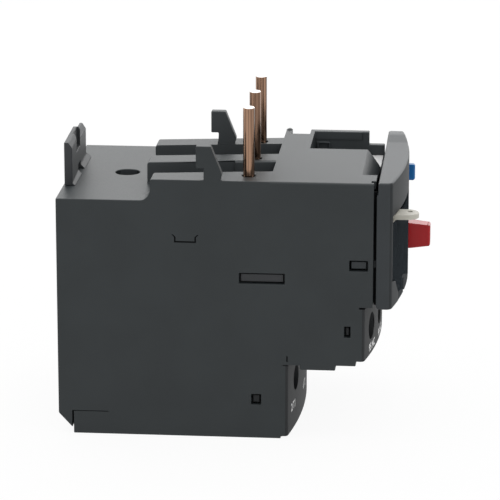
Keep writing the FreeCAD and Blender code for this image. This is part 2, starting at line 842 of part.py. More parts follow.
def aux_washers():
    washers = []
    for place in AUX_PLACES:
        plate = block(
            place - AUX_POCKET_HALF + SLIP, place + AUX_POCKET_HALF - SLIP,
            AUX_WASHER_DEPTH, AUX_WASHER_DEPTH + AUX_WASHER_THICK,
            AUX_SCREW_HEIGHT - AUX_PLATE_TALL, AUX_SCREW_HEIGHT + AUX_PLATE_TALL)
        hole = shaft(
            place, AUX_SCREW_HEIGHT, AUX_SHANK, AUX_WASHER_DEPTH - 1, AUX_WASHER_DEPTH + 3)
        washers.append(plate.cut(hole))
    return group(washers)


def aux_screws():
    seat = AUX_WASHER_DEPTH + AUX_WASHER_THICK
    return group([
        slotted_screw(
            place, AUX_SCREW_HEIGHT, AUX_HEAD, AUX_HEAD_LONG,
            AUX_SHANK, AUX_PLATE_DEPTH, seat)
        for place in AUX_PLACES
    ])


def top_cap():
    """Cap over the front half of the top, with the deep well and the rolled front."""
    plate = block(0, WIDTH, CAP_START, CAP_FRONT, TOP - CAP_THICK, TOP)
    well_outer = block(
        WELL_NEAR - WELL_WALL, FIT_FAR, WELL_REAR - WELL_WALL, WELL_FRONT + WELL_WALL,
        WELL_FLOOR - WELL_WALL, TOP - CAP_THICK)
    roll_floor = TOP - ROLL_DROP
    thick = block(
        ROLL_NEAR - WELL_WALL, WELL_NEAR, ROLL_START - 1, SIDE_DEPTH,
        roll_floor, TOP - CAP_THICK)
    nub = axle(CAP_START + NUB_RADIUS, TOP - NUB_DROP, NUB_RADIUS, WIDTH - NUB_LONG, WIDTH)
    whole = joined([plate, well_outer, thick])
    nick_near, nick_far, nick_rear = CAP_NICK
    well = block(WELL_NEAR, INNER_FAR - SLIP, WELL_REAR, WELL_FRONT, WELL_FLOOR, TOP + 1)
    well_mouth = block(
        WELL_NEAR, INNER_FAR, WELL_FRONT - 1, CAP_FRONT + 1, WELL_FLOOR, TOP + 1)
    far_step = block(
        INNER_FAR - 1, WIDTH + 1, FAR_STEP_DEPTH, CAP_FRONT + 1, WELL_FLOOR, TOP + 1)
    corner = block(
        CORNER_CUT, WIDTH + 1, CAP_START + 2 * NUB_RADIUS, WELL_REAR - WELL_WALL,
        CORNER_LEVEL, TOP + 1)
    cuts = [
        well, well_mouth, far_step, corner, roll_cut(roll_floor),
        block(-1, nick_near, SIDE_DEPTH, CAP_FRONT + 1, WELL_FLOOR, TOP + 1),
        block(nick_near - SLIP, nick_far, nick_rear, CAP_FRONT + 1, WELL_FLOOR, TOP + 1),
    ]
    whole = joined([whole.cut(cuts), nub, well_latch()])

    def near_top(edge):
        box = edge.BoundBox
        side = abs(box.XMin + HALF_WIDTH) < 0.01 and abs(box.XMax + HALF_WIDTH) < 0.01
        return side and abs(box.ZMin - TOP) < 0.01

    return whole.makeFillet(EDGE_ROUND, edges_at(whole, near_top))


def well_latch():
    """Low frame on the far wall of the well, where a lead of the contactor clips in."""
    wall = INNER_FAR - SLIP
    frame = block(
        wall - LATCH_PROUD, wall + SLIP, LATCH_REAR, LATCH_FRONT, WELL_FLOOR - SLIP, LATCH_TOP)
    return frame.cut(block(
        wall - LATCH_PROUD - 1, wall, LATCH_REAR + LATCH_BAR, LATCH_FRONT - LATCH_BAR,
        WELL_FLOOR, LATCH_TOP - LATCH_BAR))


def roll_cut(roll_floor):
    """What the front of the cap loses where it rolls down towards the bezel."""
    front = CAP_FRONT + 1
    near = ROLL_NEAR
    roll = Part.Arc(
        spot(near, ROLL_START, TOP),
        spot(near, ROLL_START + ROLL_BELLY, TOP - ROLL_BELLY_DROP),
        spot(near, SIDE_DEPTH, roll_floor),
    ).toShape()
    corners = [
        spot(near, SIDE_DEPTH, roll_floor),
        spot(near, front, roll_floor),
        spot(near, front, TOP + 1),
        spot(near, ROLL_START, TOP + 1),
        spot(near, ROLL_START, TOP),
    ]
    sides = [Part.makeLine(one, other) for one, other in zip(corners[:-1], corners[1:])]
    outline = Part.Wire([roll] + sides)
    return Part.Face(outline).extrude(Vector(WELL_NEAR - near, 0, 0))


def rear_plate():
    """Hook plate that stands on the rear edge of the deck."""
    plan = [
        (PLATE_NEAR, PLATE_REAR_NEAR),
        (PLATE_NEAR, PLATE_FRONT_NEAR),
        (PLATE_FAR, PLATE_FRONT_FAR),
        (PLATE_FAR, PLATE_REAR_FAR),
    ]
    plate = plan_prism(plan, REAR_DECK, PLATE_TOP)
    front = (PLATE_FRONT_NEAR + PLATE_FRONT_FAR) / 2
    reach = PLATE_FRONT_NEAR + PLATE_FOOT + 1
    foot = side_prism([
        (front - PLATE_FOOT, REAR_DECK),
        (front - PLATE_FOOT, REAR_DECK + PLATE_FOOT),
        (front, REAR_DECK + PLATE_FOOT),
        (front + PLATE_FOOT, REAR_DECK),
    ], PLATE_NEAR, PLATE_FAR)
    step = block(PLATE_STEP, PLATE_FAR + 1, -1, reach, PLATE_LOW_TOP, PLATE_TOP + 1)
    bevels = [
        plate_bevel(PLATE_NEAR - 1, PLATE_STEP, PLATE_FRONT_NEAR, PLATE_TOP),
        plate_bevel(PLATE_STEP, PLATE_FAR + 1, PLATE_FRONT_FAR, PLATE_LOW_TOP),
    ]
    recess = block(
        RECESS_NEAR, RECESS_FAR, front - RECESS_DEEP, reach, RECESS_BOTTOM, PLATE_TOP + 1)
    slot = block(
        MIDDLE - PLATE_SLOT_HALF, MIDDLE + PLATE_SLOT_HALF,
        front - PLATE_SLOT_DEEP, reach, REAR_DECK - 1, PLATE_SLOT_TOP)
    return joined([plate, foot]).cut([step, recess, slot] + bevels)


def plate_bevel(near, far, front, top):
    """Wedge cut from the front of the plate's top edge."""
    return side_prism([
        (front - PLATE_BEVEL, top),
        (front, top - PLATE_BEVEL_DROP),
        (front + 1, top - PLATE_BEVEL_DROP),
        (front + 1, top + 1),
        (front - PLATE_BEVEL, top + 1),
    ], near, far)


def plug_pin(pole):
    """Round plug pin on a square shank, with the strap that carries the bimetal."""
    shank_top = TOP + SEAT
    shank = block(
        pole - PIN_SHANK, pole + PIN_SHANK,
        PIN_DEPTH - PIN_SHANK, PIN_DEPTH + PIN_SHANK, STRAP_BOTTOM, shank_top)
    pin = post(pole, PIN_DEPTH, PIN_RADIUS, shank_top, PIN_TOP)
    crown = [edge for edge in pin.Edges if abs(edge.BoundBox.ZMin - PIN_TOP) < 0.01]
    pin = pin.makeChamfer(PIN_CHAMFER, crown)
    strap = block(
        pole - STRAP_HALF, pole + STRAP_HALF,
        BIMETAL_DEPTH - BIMETAL_WIDE / 2, PIN_DEPTH + PIN_RADIUS + STRAP_OVER,
        STRAP_BOTTOM, STRAP_BOTTOM + STRAP_THICK)
    return joined([pin, shank, strap])


def bimetal(pole):
    return block(
        pole - BIMETAL_THICK / 2, pole + BIMETAL_THICK / 2,
        BIMETAL_DEPTH - BIMETAL_WIDE / 2, BIMETAL_DEPTH + BIMETAL_WIDE / 2,
        BIMETAL_BOTTOM, STRAP_BOTTOM)


def heater(pole):
    """Insulating sleeve with a ribbon wound round it, turn by turn."""
    half_thick = BIMETAL_THICK / 2 + SEAT
    half_wide = BIMETAL_WIDE / 2 + SEAT
    sleeve_thick = half_thick + HEATER_SLEEVE
    sleeve_wide = half_wide + HEATER_SLEEVE
    pieces = [block(
        pole - sleeve_thick, pole + sleeve_thick,
        BIMETAL_DEPTH - sleeve_wide, BIMETAL_DEPTH + sleeve_wide, HEATER_BOTTOM, HEATER_TOP)]
    pitch = (HEATER_TOP - HEATER_BOTTOM) / HEATER_TURNS
    for turn in range(HEATER_TURNS):
        low = HEATER_BOTTOM + (turn + RIBBON_START) * pitch
        pieces.append(block(
            pole - sleeve_thick - HEATER_RIBBON, pole + sleeve_thick + HEATER_RIBBON,
            BIMETAL_DEPTH - sleeve_wide - HEATER_RIBBON,
            BIMETAL_DEPTH + sleeve_wide + HEATER_RIBBON,
            low, low + RIBBON_SHARE * pitch))
    core = block(
        pole - half_thick, pole + half_thick,
        BIMETAL_DEPTH - half_wide, BIMETAL_DEPTH + half_wide,
        HEATER_BOTTOM - 1, HEATER_TOP + 1)
    return joined(pieces).cut(core)


def load_conductor(pole, place):
    """Strip from the heater down into its clamp cage."""
    rear = CAGE_REAR + CAGE_WALL + SEAT
    heater_front = BIMETAL_DEPTH + BIMETAL_WIDE / 2 + SEAT + HEATER_SLEEVE + HEATER_RIBBON
    top = LOAD_BAR_HEIGHT + LOAD_THICK
    down = block(
        place - LOAD_HALF, place + LOAD_HALF, rear, rear + LOAD_THICK,
        CAGE_BOTTOM + LOAD_FOOT, top)
    low = min(pole - LOAD_OVER, place - LOAD_HALF)
    high = max(pole + LOAD_OVER, place + LOAD_HALF)
    bar = block(low, high, heater_front + SEAT, rear + LOAD_THICK, LOAD_BAR_HEIGHT, top)
    return joined([down, bar])


def load_conductors():
    return group([load_conductor(pole, place) for pole, place in zip(POLES, POWER_PLACES)])


def mechanism_frame():
    """Wall between the heater chamber and the contact chamber, snapped into the sides."""
    deck_under = REAR_DECK - WALL
    wall = block(FIT_NEAR, FIT_FAR, FRAME_REAR, FRAME_FRONT, FRAME_BOTTOM, deck_under)
    rear, front, bottom, top = FRAME_WINDOW
    ear = joined([
        block(FIT_NEAR, FIT_NEAR + EAR_THICK, rear, FRAME_FRONT,
            bottom - EAR_MARGIN, top + EAR_MARGIN),
        tongue(FRAME_WINDOW),
    ])
    whole = joined([wall] + both_sides(ear))
    tip = LEVER_ACROSS - ARM_REACH
    gate = block(
        tip - GATE_NEAR, tip + GATE_FAR, FRAME_REAR - 1, FRAME_FRONT + 1,
        CONTACT_HEIGHT - SLIP, CONTACT_HEIGHT + CONTACT_TALL + GATE_OVER)
    hub_relief = post(
        LEVER_ACROSS, LEVER_DEPTH, LEVER_HUB + SLIP,
        bottom - EAR_MARGIN - 1, top + EAR_MARGIN + 1)
    return whole.cut([gate, hub_relief])


def slider(bottom, gap, side):
    """Comb bar with a finger beside the free end of each bimetal."""
    top = bottom + SLIDER_TALL
    front = SLIDER_REAR + SLIDER_THICK
    far = SLIDER_FAR
    if side < 0:
        far = RETURN_FAR
    bar = block(SLIDER_START, far, SLIDER_REAR, front, bottom, top)
    pieces = [bar]
    for pole in POLES:
        face = pole + side * (BIMETAL_THICK / 2 + gap)
        near = min(face, face + side * FINGER_THICK)
        pieces.append(block(
            near, near + FINGER_THICK, front, front + FINGER_LONG, bottom, top))
    return joined(pieces)


def lever_pin():
    return post(
        LEVER_ACROSS, LEVER_DEPTH, LEVER_PIN, POWER_TOP - PIN_SEAT, LEVER_TOP + PIN_SEAT)


def trip_lever():
    """Upright lever: the slider pushes its low arm, its high arm pushes the carrier."""
    hub = post(LEVER_ACROSS, LEVER_DEPTH, LEVER_HUB, POWER_TOP + SLIP, LEVER_TOP)
    low = block(
        LEVER_ACROSS - ARM_THICK / 2, LEVER_ACROSS + ARM_THICK / 2,
        SLIDER_REAR, LEVER_DEPTH, SLIDER_BOTTOM, SLIDER_BOTTOM + SLIDER_TALL)
    high = block(
        LEVER_ACROSS - ARM_REACH - ARM_TIP, LEVER_ACROSS,
        LEVER_DEPTH - ARM_THICK / 2, LEVER_DEPTH + ARM_THICK / 2,
        UPPER_ARM_BOTTOM, UPPER_ARM_BOTTOM + UPPER_ARM_TALL)
    bore = post(
        LEVER_ACROSS, LEVER_DEPTH, LEVER_PIN + SHAFT_GAP, POWER_TOP - 1, LEVER_TOP + 1)
    return joined([hub, low, high]).cut(bore)


def contact_carrier():
    """Insulating slide that moves both contact bridges."""
    tip = LEVER_ACROSS - ARM_REACH
    low = CONTACT_HEIGHT
    top = CONTACT_HEIGHT + CONTACT_TALL
    bar_front = CARRIER_BAR_DEPTH + CARRIER_BAR_THICK
    bar = block(
        AUX_PLACES[0] + CARRIER_START, tip + CARRIER_HALF,
        CARRIER_BAR_DEPTH, bar_front, low, top)
    lever_face = LEVER_DEPTH - ARM_THICK / 2 - SLIP
    tail = block(
        tip - CARRIER_HALF, tip + CARRIER_HALF,
        lever_face - CARRIER_PUSH, CARRIER_BAR_DEPTH, low, low + CARRIER_TAIL)
    push = block(
        tip - CARRIER_HALF, tip + CARRIER_HALF,
        lever_face - CARRIER_PUSH, lever_face, low, top)
    closed_arm = block(
        AUX_PLACES[0] + CLOSED_ARM, AUX_PLACES[1] - CLOSED_ARM, bar_front,
        AUX_PLATE_DEPTH - CONTACT_GAP - BRIDGE_THICK, low, top)
    open_arm = block(
        AUX_PLACES[2] + OPEN_ARM_NEAR, AUX_PLACES[2] + OPEN_ARM_FAR,
        bar_front, open_bridge_rear(), low, top)
    return joined([bar, tail, push, closed_arm, open_arm])


def open_bridge_rear():
    return AUX_PLATE_DEPTH + AUX_PLATE_THICK + CONTACT_GAP + TRAVEL


def bridge(left, right, rear):
    return block(
        left - STRIP_HALF, right + STRIP_HALF, rear, rear + BRIDGE_THICK,
        CONTACT_HEIGHT + BRIDGE_DROP, CONTACT_HEIGHT + CONTACT_TALL - BRIDGE_DROP)


def closed_bridge():
    rear = AUX_PLATE_DEPTH - CONTACT_GAP - BRIDGE_THICK
    return bridge(AUX_PLACES[0], AUX_PLACES[1], rear)


def open_bridge():
    return bridge(AUX_PLACES[2], AUX_PLACES[3], open_bridge_rear())


def cup(across, height, radius):
    """Guide cup behind the deck that holds a return spring."""
    return shaft(across, height, radius + CUP_WALL, DECK_FRONT - CUP_LONG, DECK_REAR)


def control_deck():
    """Inner wall that guides the dial, the buttons and the trip flag."""
    plate = block(
        FIT_NEAR, FIT_FAR, DECK_REAR, DECK_FRONT,
        FRONT_BOTTOM + FRONT_FLOOR_THICK, TOP - CAP_THICK)
    roll_under = block(
        ROLL_NEAR - 2, WELL_NEAR, DECK_REAR - 1, DECK_FRONT + 1,
        TOP - ROLL_DROP - SLIP, TOP + 1)
    well_under = block(
        WELL_NEAR - WELL_WALL - SLIP, FIT_FAR + 1, DECK_REAR - 1, DECK_FRONT + 1,
        WELL_FLOOR, TOP + 1)
    stop_spring_radius = STOP_STEM + CUP_CLEAR
    _, _, arm_bottom, arm_top = BEZEL_WINDOW
    arm_reach = FIT_NEAR + ARM_WIDE + SLIP
    shelf = block(
        WELL_NEAR, FIT_FAR - SLIP, WELL_FRONT + WELL_WALL + SLIP, DECK_FRONT,
        WELL_FLOOR - SHELF_THICK, WELL_FLOOR)
    whole = joined([
        plate.cut([roll_under, well_under]),
        shelf,
        cup(BUTTON_ACROSS, STOP_HEIGHT, stop_spring_radius),
    ])
    cup_floor = DECK_FRONT - CUP_LONG + CUP_FLOOR
    cuts = [
        shaft(DIAL_ACROSS, DIAL_HEIGHT, DIAL_SHAFT + SHAFT_GAP, DECK_REAR - 1, DECK_FRONT + 1),
        shaft(BUTTON_ACROSS, STOP_HEIGHT, stop_spring_radius, cup_floor, DECK_FRONT + 1),
        shaft(BUTTON_ACROSS, STOP_HEIGHT, STOP_STEM + SHAFT_GAP, DECK_FRONT - CUP_LONG - 1,
              DECK_FRONT + 1),
        shaft(BUTTON_ACROSS, RESET_HEIGHT, RESET_STEM + SHAFT_GAP, DECK_REAR - 1, DECK_FRONT + 1),
        shaft(TEST_ACROSS, TEST_HEIGHT, TEST_HALF + SHAFT_GAP, DECK_REAR - 1, DECK_FRONT + 1),
        block(
            TEST_ACROSS - FLAG_WIDE / 2, TEST_ACROSS + FLAG_WIDE / 2,
            DECK_REAR - 1, DECK_FRONT + 1,
            FLAG_HEIGHT - FLAG_TALL / 2, FLAG_HEIGHT + FLAG_TALL / 2),
    ]
    cuts += both_sides(block(
        0, arm_reach, DECK_REAR - 1, DECK_FRONT + 1,
        arm_bottom + TONGUE_GAP - SLIP, arm_top - TONGUE_GAP + SLIP))
    return whole.cut(cuts)


def bezel_outline(bottom, top):
    body = arc_prism(0, WIDTH, BEZEL_REAR, BEZEL_CROWN, BEZEL_RADIUS, bottom, top)

    def corner(edge):
        box = edge.BoundBox
        upright = box.ZLength > (top - bottom) / 2
        return upright and box.YMax < HALF_DEPTH - BEZEL_REAR - 0.5

    return body.makeFillet(BEZEL_CORNER, edges_at(body, corner))


def bezel():
    """Curved front with the cover opening, the button ports and the hinge ears."""
    body = bezel_outline(BEZEL_BOTTOM, BEZEL_TOP + BEZEL_PAD_RISE + 1)
    crest = BEZEL_TOP + BEZEL_PAD_RISE
    sky = BEZEL_TOP + BEZEL_PAD_RISE + 2
    over = [
        (-1, BEZEL_TOP),
        (BEZEL_PAD_START, BEZEL_TOP),
        (BEZEL_PAD_FULL, crest),
        (BEZEL_PAD_END, crest),
        (WIDTH, BEZEL_TOP - BEZEL_PAD_RISE),
        (WIDTH + 1, BEZEL_TOP - BEZEL_PAD_RISE),
        (WIDTH + 1, sky),
        (-1, sky),
    ]
    body = body.cut(front_prism(over, BEZEL_REAR - 1, BEZEL_CROWN + 1))

    def lower_rear(edge):
        box = edge.BoundBox
        rear = abs(box.YMin - (HALF_DEPTH - BEZEL_REAR)) < 0.01 and box.YLength < 0.01
        return rear and abs(box.ZMax - BEZEL_BOTTOM) < 0.01

    body = body.makeFillet(BEZEL_TURN, edges_at(body, lower_rear))
    hollow = arc_prism(
        BEZEL_RIM, WIDTH - BEZEL_RIM, BEZEL_REAR - 1, BEZEL_CROWN - BEZEL_SKIN,
        BEZEL_RADIUS - BEZEL_SKIN, BEZEL_BOTTOM + BEZEL_RIM, BEZEL_TOP - BEZEL_RIM)
    opening = block(
        OPEN_NEAR + OPEN_LAP, OPEN_FAR - OPEN_LAP, BEZEL_REAR - 1, BEZEL_CROWN + 1,
        OPEN_BOTTOM, OPEN_TOP)
    pocket = block(
        CHEEK_ACROSS[-1], OPEN_FAR, POCKET_REAR, BEZEL_CROWN + 1,
        BEZEL_BOTTOM - 1, POCKET_TOP)
    rebate = front_layer(COVER_THICK + SLIP, cover_outline(0, BEZEL_BOTTOM - 1, OPEN_TOP))
    top_rear = block(
        -1, WIDTH + 1, BEZEL_REAR - 1, BEZEL_TOP_REAR, BEZEL_TOP - BEZEL_TOP_DEEP, sky)
    stop_port = block(
        BUTTON_ACROSS - STOP_WIDE / 2 - PORT_GAP, BUTTON_ACROSS + STOP_WIDE / 2 + PORT_GAP,
        BEZEL_REAR - 1, BEZEL_CROWN + 1,
        STOP_HEIGHT - STOP_TALL / 2 - PORT_GAP, STOP_HEIGHT + STOP_TALL / 2 + PORT_GAP)
    reset_port = shaft(
        BUTTON_ACROSS, RESET_HEIGHT, RESET_RADIUS + PORT_GAP, BEZEL_REAR - 1, BEZEL_CROWN + 1)
    body = body.cut([hollow, opening, pocket, rebate, top_rear, stop_port, reset_port])
    ears = []
    for near in ear_places():
        eye = axle(HINGE_DEPTH, HINGE_HEIGHT, EAR_RADIUS, near, near + EAR_WIDE)
        stem = block(
            near, near + EAR_WIDE, POCKET_REAR - SLIP, HINGE_DEPTH,
            HINGE_HEIGHT - EAR_RADIUS, HINGE_HEIGHT + EAR_RADIUS)
        ears.append(eye.fuse(stem))
    ring_outer = block(
        BEZEL_RIM, WIDTH - BEZEL_RIM, DECK_FRONT, BEZEL_REAR + 1,
        BEZEL_BOTTOM + BEZEL_RIM, BEZEL_TOP - BEZEL_RIM)
    ring_wall = BEZEL_RIM + BEZEL_RING
    ring_inner = block(
        ring_wall, WIDTH - ring_wall, DECK_FRONT - 1, BEZEL_REAR + 2,
        BEZEL_BOTTOM + ring_wall, BEZEL_TOP - ring_wall)
    ring_gap = block(
        ROLL_NEAR - 1, WIDTH, DECK_FRONT - 1, BEZEL_REAR + SLIP,
        RESET_HEIGHT - RESET_RADIUS, TOP + 1)
    key_gap = block(
        BUTTON_ACROSS - STOP_WIDE / 2 - STOP_COLLAR_WIDE - PORT_GAP,
        BUTTON_ACROSS + STOP_WIDE / 2 + STOP_COLLAR_WIDE + PORT_GAP,
        DECK_FRONT - 1, BEZEL_REAR + 2,
        STOP_HEIGHT - STOP_TALL / 2 - PORT_GAP, STOP_HEIGHT + STOP_TALL / 2 + PORT_GAP)
    ring = ring_outer.cut([ring_inner, ring_gap, key_gap])
    sill = block(
        BEZEL_RIM, WIDTH - BEZEL_RIM, SIDE_DEPTH + SEAT, BEZEL_REAR + 1,
        BEZEL_BOTTOM + BEZEL_SILL_RISE, BEZEL_BOTTOM + BEZEL_RIM)
    rear, front, bottom, top = BEZEL_WINDOW
    arm = joined([
        block(
            FIT_NEAR, FIT_NEAR + ARM_WIDE, rear, BEZEL_REAR + 1,
            bottom + TONGUE_GAP, top - TONGUE_GAP),
        tongue(BEZEL_WINDOW),
    ])
    whole = joined([body, ring, sill] + both_sides(arm) + ears)
    return whole.cut(hinge_rod())


def ear_places():
    return [KNUCKLE_NEAR - SLIP - EAR_WIDE, KNUCKLE_FAR + SLIP]


def front_layer(thick, outline):
    """Outer layer of the bezel's curved front, of the given outline seen from the front."""
    skin = arc_prism(
        0, WIDTH, BEZEL_REAR, BEZEL_CROWN, BEZEL_RADIUS, BEZEL_BOTTOM - 2, BEZEL_TOP)
    core = arc_prism(
        -1, WIDTH + 1, BEZEL_REAR - 1, BEZEL_CROWN - thick, BEZEL_RADIUS - thick,
        BEZEL_BOTTOM - 3, BEZEL_TOP + 1)
    shape = front_prism(outline, BEZEL_REAR - 1, BEZEL_CROWN + 1)
    return skin.cut(core).common(shape)


def cover_outline(gap, bottom, top):
    """Outline of the cover seen from the front, with the cheek corner cut off."""
    cheek = [
        (across + gap, height + gap) for across, height in zip(CHEEK_ACROSS, CHEEK_HEIGHT)]
    return [
        (OPEN_NEAR + gap, top),
        (OPEN_FAR - gap, top),
        (OPEN_FAR - gap, bottom),
        (CHEEK_ACROSS[-1] + gap, bottom),
    ] + cheek[::-1]


def hinge_rod():
    near = KNUCKLE_NEAR - SLIP - EAR_WIDE
    far = KNUCKLE_FAR + SLIP + EAR_WIDE
    return axle(HINGE_DEPTH, HINGE_HEIGHT, HINGE_ROD, near, far)


def clear_cover():
    """Curved clear flap with its knuckle and the sealing tab."""
    panel = front_layer(COVER_THICK, cover_outline(COVER_GAP, COVER_BOTTOM, COVER_TOP))
    knuckle = axle(HINGE_DEPTH, HINGE_HEIGHT, KNUCKLE, KNUCKLE_NEAR, KNUCKLE_FAR)
    web = block(
        KNUCKLE_NEAR, KNUCKLE_FAR, HINGE_DEPTH, BEZEL_CROWN - COVER_THICK,
        HINGE_HEIGHT - KNUCKLE / 2, HINGE_HEIGHT + KNUCKLE / 2)
    nose = (TAB_FAR - TAB_NEAR) / 2
    tab = joined([
        block(TAB_NEAR, TAB_FAR, TAB_REAR, TAB_FRONT - nose, COVER_TOP, TAB_TOP),
        post(TAB_NEAR + nose, TAB_FRONT - nose, nose, COVER_TOP, TAB_TOP),
    ])
    clear_ears = []
    for place in ear_places():
        clear_ears.append(axle(
            HINGE_DEPTH, HINGE_HEIGHT, EAR_RADIUS + EAR_CLEAR,
            place - SLIP, place + EAR_WIDE + SLIP))
        clear_ears.append(block(
            place - SLIP, place + EAR_WIDE + SLIP, BEZEL_REAR, BEZEL_CROWN + 1,
            COVER_BOTTOM - 1, HINGE_HEIGHT + EAR_RADIUS + EAR_CLEAR))
    bore = axle(
        HINGE_DEPTH, HINGE_HEIGHT, HINGE_ROD + SHAFT_GAP, KNUCKLE_NEAR - 1, KNUCKLE_FAR + 1)
    seal = post(TAB_HOLE_ACROSS, TAB_HOLE_DEPTH, TAB_HOLE, COVER_TOP - 1, TAB_TOP + 1)
    return joined([panel.cut(clear_ears), knuckle, web, tab]).cut([bore, seal])


def setting_dial():
    """Setting dial with a knurled rim, a pointer slot and its shaft."""
    disc = shaft(DIAL_ACROSS, DIAL_HEIGHT, DIAL_RADIUS, DIAL_REAR, DIAL_FRONT)
    stem = shaft(DIAL_ACROSS, DIAL_HEIGHT, DIAL_SHAFT, DIAL_SHAFT_END, DIAL_REAR)
    whole = joined([disc, stem])
    cuts = [
        block(
            DIAL_ACROSS - DIAL_SLOT_HALF, DIAL_ACROSS + DIAL_SLOT_HALF,
            DIAL_FRONT - DIAL_SLOT_DEEP, DIAL_FRONT + 1,
            DIAL_HEIGHT - DIAL_SLOT_LONG, DIAL_HEIGHT + DIAL_SLOT_LONG),
        block(
            DIAL_ACROSS - DIAL_SLOT_SHORT, DIAL_ACROSS + DIAL_SLOT_SHORT,
            DIAL_FRONT - DIAL_SLOT_DEEP, DIAL_FRONT + 1,
            DIAL_HEIGHT - DIAL_SLOT_HALF, DIAL_HEIGHT + DIAL_SLOT_HALF),
    ]
    return whole.cut(cuts)


def dial_cam():
    """Eccentric on the dial's shaft that biases the trip point."""
    front = DIAL_SHAFT_END + CAM_LONG
    disc = shaft(DIAL_ACROSS, DIAL_HEIGHT - CAM_OFFSET, CAM_RADIUS, DIAL_SHAFT_END, front)
    bore = shaft(DIAL_ACROSS, DIAL_HEIGHT, DIAL_SHAFT, DIAL_SHAFT_END - 1, front + 1)
    return disc.cut(bore)


def stop_button():
    """Tapered stop key on a collar and a stem."""
    half_wide = STOP_WIDE / 2
    half_tall = STOP_TALL / 2

    def outline(depth, wide, tall):
        corners = [
            spot(BUTTON_ACROSS - wide, depth, STOP_HEIGHT - tall),
            spot(BUTTON_ACROSS + wide, depth, STOP_HEIGHT - tall),
            spot(BUTTON_ACROSS + wide, depth, STOP_HEIGHT + tall),
            spot(BUTTON_ACROSS - wide, depth, STOP_HEIGHT + tall),
        ]
        return Part.makePolygon(corners + [corners[0]])

    base = block(
        BUTTON_ACROSS - half_wide, BUTTON_ACROSS + half_wide,
        STOP_COLLAR_FRONT, BEZEL_CROWN, STOP_HEIGHT - half_tall, STOP_HEIGHT + half_tall)
    root = outline(BEZEL_CROWN, half_wide, half_tall)
    tip = outline(STOP_TIP, half_wide - STOP_TAPER / 2, half_tall - STOP_TAPER)
    nose = Part.makeLoft([root, tip], True)

    def tip_edge(edge):
        return edge.BoundBox.YMax < HALF_DEPTH - STOP_TIP + 0.01

    nose = nose.makeFillet(STOP_ROUND, edges_at(nose, tip_edge))
    collar_rear = STOP_COLLAR_FRONT - STOP_COLLAR_THICK
    collar = block(
        BUTTON_ACROSS - half_wide - STOP_COLLAR_WIDE, BUTTON_ACROSS + half_wide + STOP_COLLAR_WIDE,
        collar_rear, STOP_COLLAR_FRONT,
        STOP_HEIGHT - STOP_COLLAR_HALF, STOP_HEIGHT + STOP_COLLAR_HALF)
    stem = shaft(
        BUTTON_ACROSS, STOP_HEIGHT, STOP_STEM, DECK_FRONT - CUP_LONG - CUP_FLOOR, collar_rear)
    return joined([base, nose, collar, stem])


def reset_knob():
    """Turning reset knob with a grip bar."""
    disc = shaft(BUTTON_ACROSS, RESET_HEIGHT, RESET_RADIUS, RESET_REAR, RESET_FACE)
    grip = block(
        BUTTON_ACROSS - RESET_GRIP_WIDE / 2, BUTTON_ACROSS + RESET_GRIP_WIDE / 2,
        RESET_FACE - GRIP_SET, RESET_TIP, RESET_HEIGHT - GRIP_HALF, RESET_HEIGHT + GRIP_HALF)

    def front_edges(edge):
        return edge.BoundBox.YMax < HALF_DEPTH - RESET_TIP + 0.01

    grip = grip.makeFillet(GRIP_ROUND, edges_at(grip, front_edges))
    socket = shaft(
        BUTTON_ACROSS, RESET_HEIGHT, RESET_SPIGOT + SHAFT_GAP,
        RESET_REAR - 1, RESET_SPIGOT_END + SLIP)
    return joined([disc, grip]).cut(socket)


def reset_plunger():
    """Sliding plunger that carries the reset knob."""
    rod = shaft(
        BUTTON_ACROSS, RESET_HEIGHT, RESET_STEM, DECK_REAR - PLUNGER_BACK, RESET_SHOULDER)
    spigot = shaft(
        BUTTON_ACROSS, RESET_HEIGHT, RESET_SPIGOT, RESET_SHOULDER, RESET_SPIGOT_END)
    return joined([rod, spigot])


def test_button():
    collar_front = DECK_REAR - TEST_COLLAR_GAP
    head = shaft(TEST_ACROSS, TEST_HEIGHT, TEST_HALF, collar_front, TEST_FRONT)
    collar = shaft(
        TEST_ACROSS, TEST_HEIGHT, TEST_HALF + TEST_COLLAR,
        collar_front - TEST_COLLAR_THICK, collar_front)
    return joined([head, collar])


def trip_flag():
    """Flag that shows in the deck window when the relay has tripped."""
    front = DECK_REAR - SLIP
    return block(
        TEST_ACROSS - FLAG_WIDE / 2 - FLAG_TRAVEL, TEST_ACROSS + FLAG_WIDE / 2 + FLAG_OVER,
        front - FLAG_THICK, front,
        FLAG_HEIGHT - FLAG_TALL / 2 - FLAG_OVER, FLAG_HEIGHT + FLAG_TALL / 2 + FLAG_OVER)


def spring(across, height, radius, rear, front, turns):
    """Round coil spring of square wire, wound along the depth."""
    length = front - rear - SPRING_WIRE * 2
    pitch = length / turns
    helix = Part.makeHelix(pitch, length, radius)
    half = SPRING_WIRE
    section = Part.makePolygon([
        Vector(radius - half, 0, -half),
        Vector(radius + half, 0, -half),
        Vector(radius + half, 0, half),
        Vector(radius - half, 0, half),
        Vector(radius - half, 0, -half),
    ])
    coil = Part.Wire(helix.Edges).makePipeShell([section], True, True)
    coil.rotate(Vector(0, 0, 0), Vector(1, 0, 0), 90)
    coil.translate(spot(across, rear + SPRING_WIRE, height))
    return coil


def stop_spring():
    rear = DECK_FRONT - CUP_LONG + CUP_FLOOR + SEAT
    front = STOP_COLLAR_FRONT - STOP_COLLAR_THICK - SEAT
    return spring(BUTTON_ACROSS, STOP_HEIGHT, STOP_STEM + STOP_SPRING, rear, front, STOP_TURNS)


def reset_spring():
    return spring(
        BUTTON_ACROSS, RESET_HEIGHT, RESET_STEM + RESET_SPRING,
        DECK_FRONT + SEAT, RESET_REAR - SEAT, RESET_TURNS)


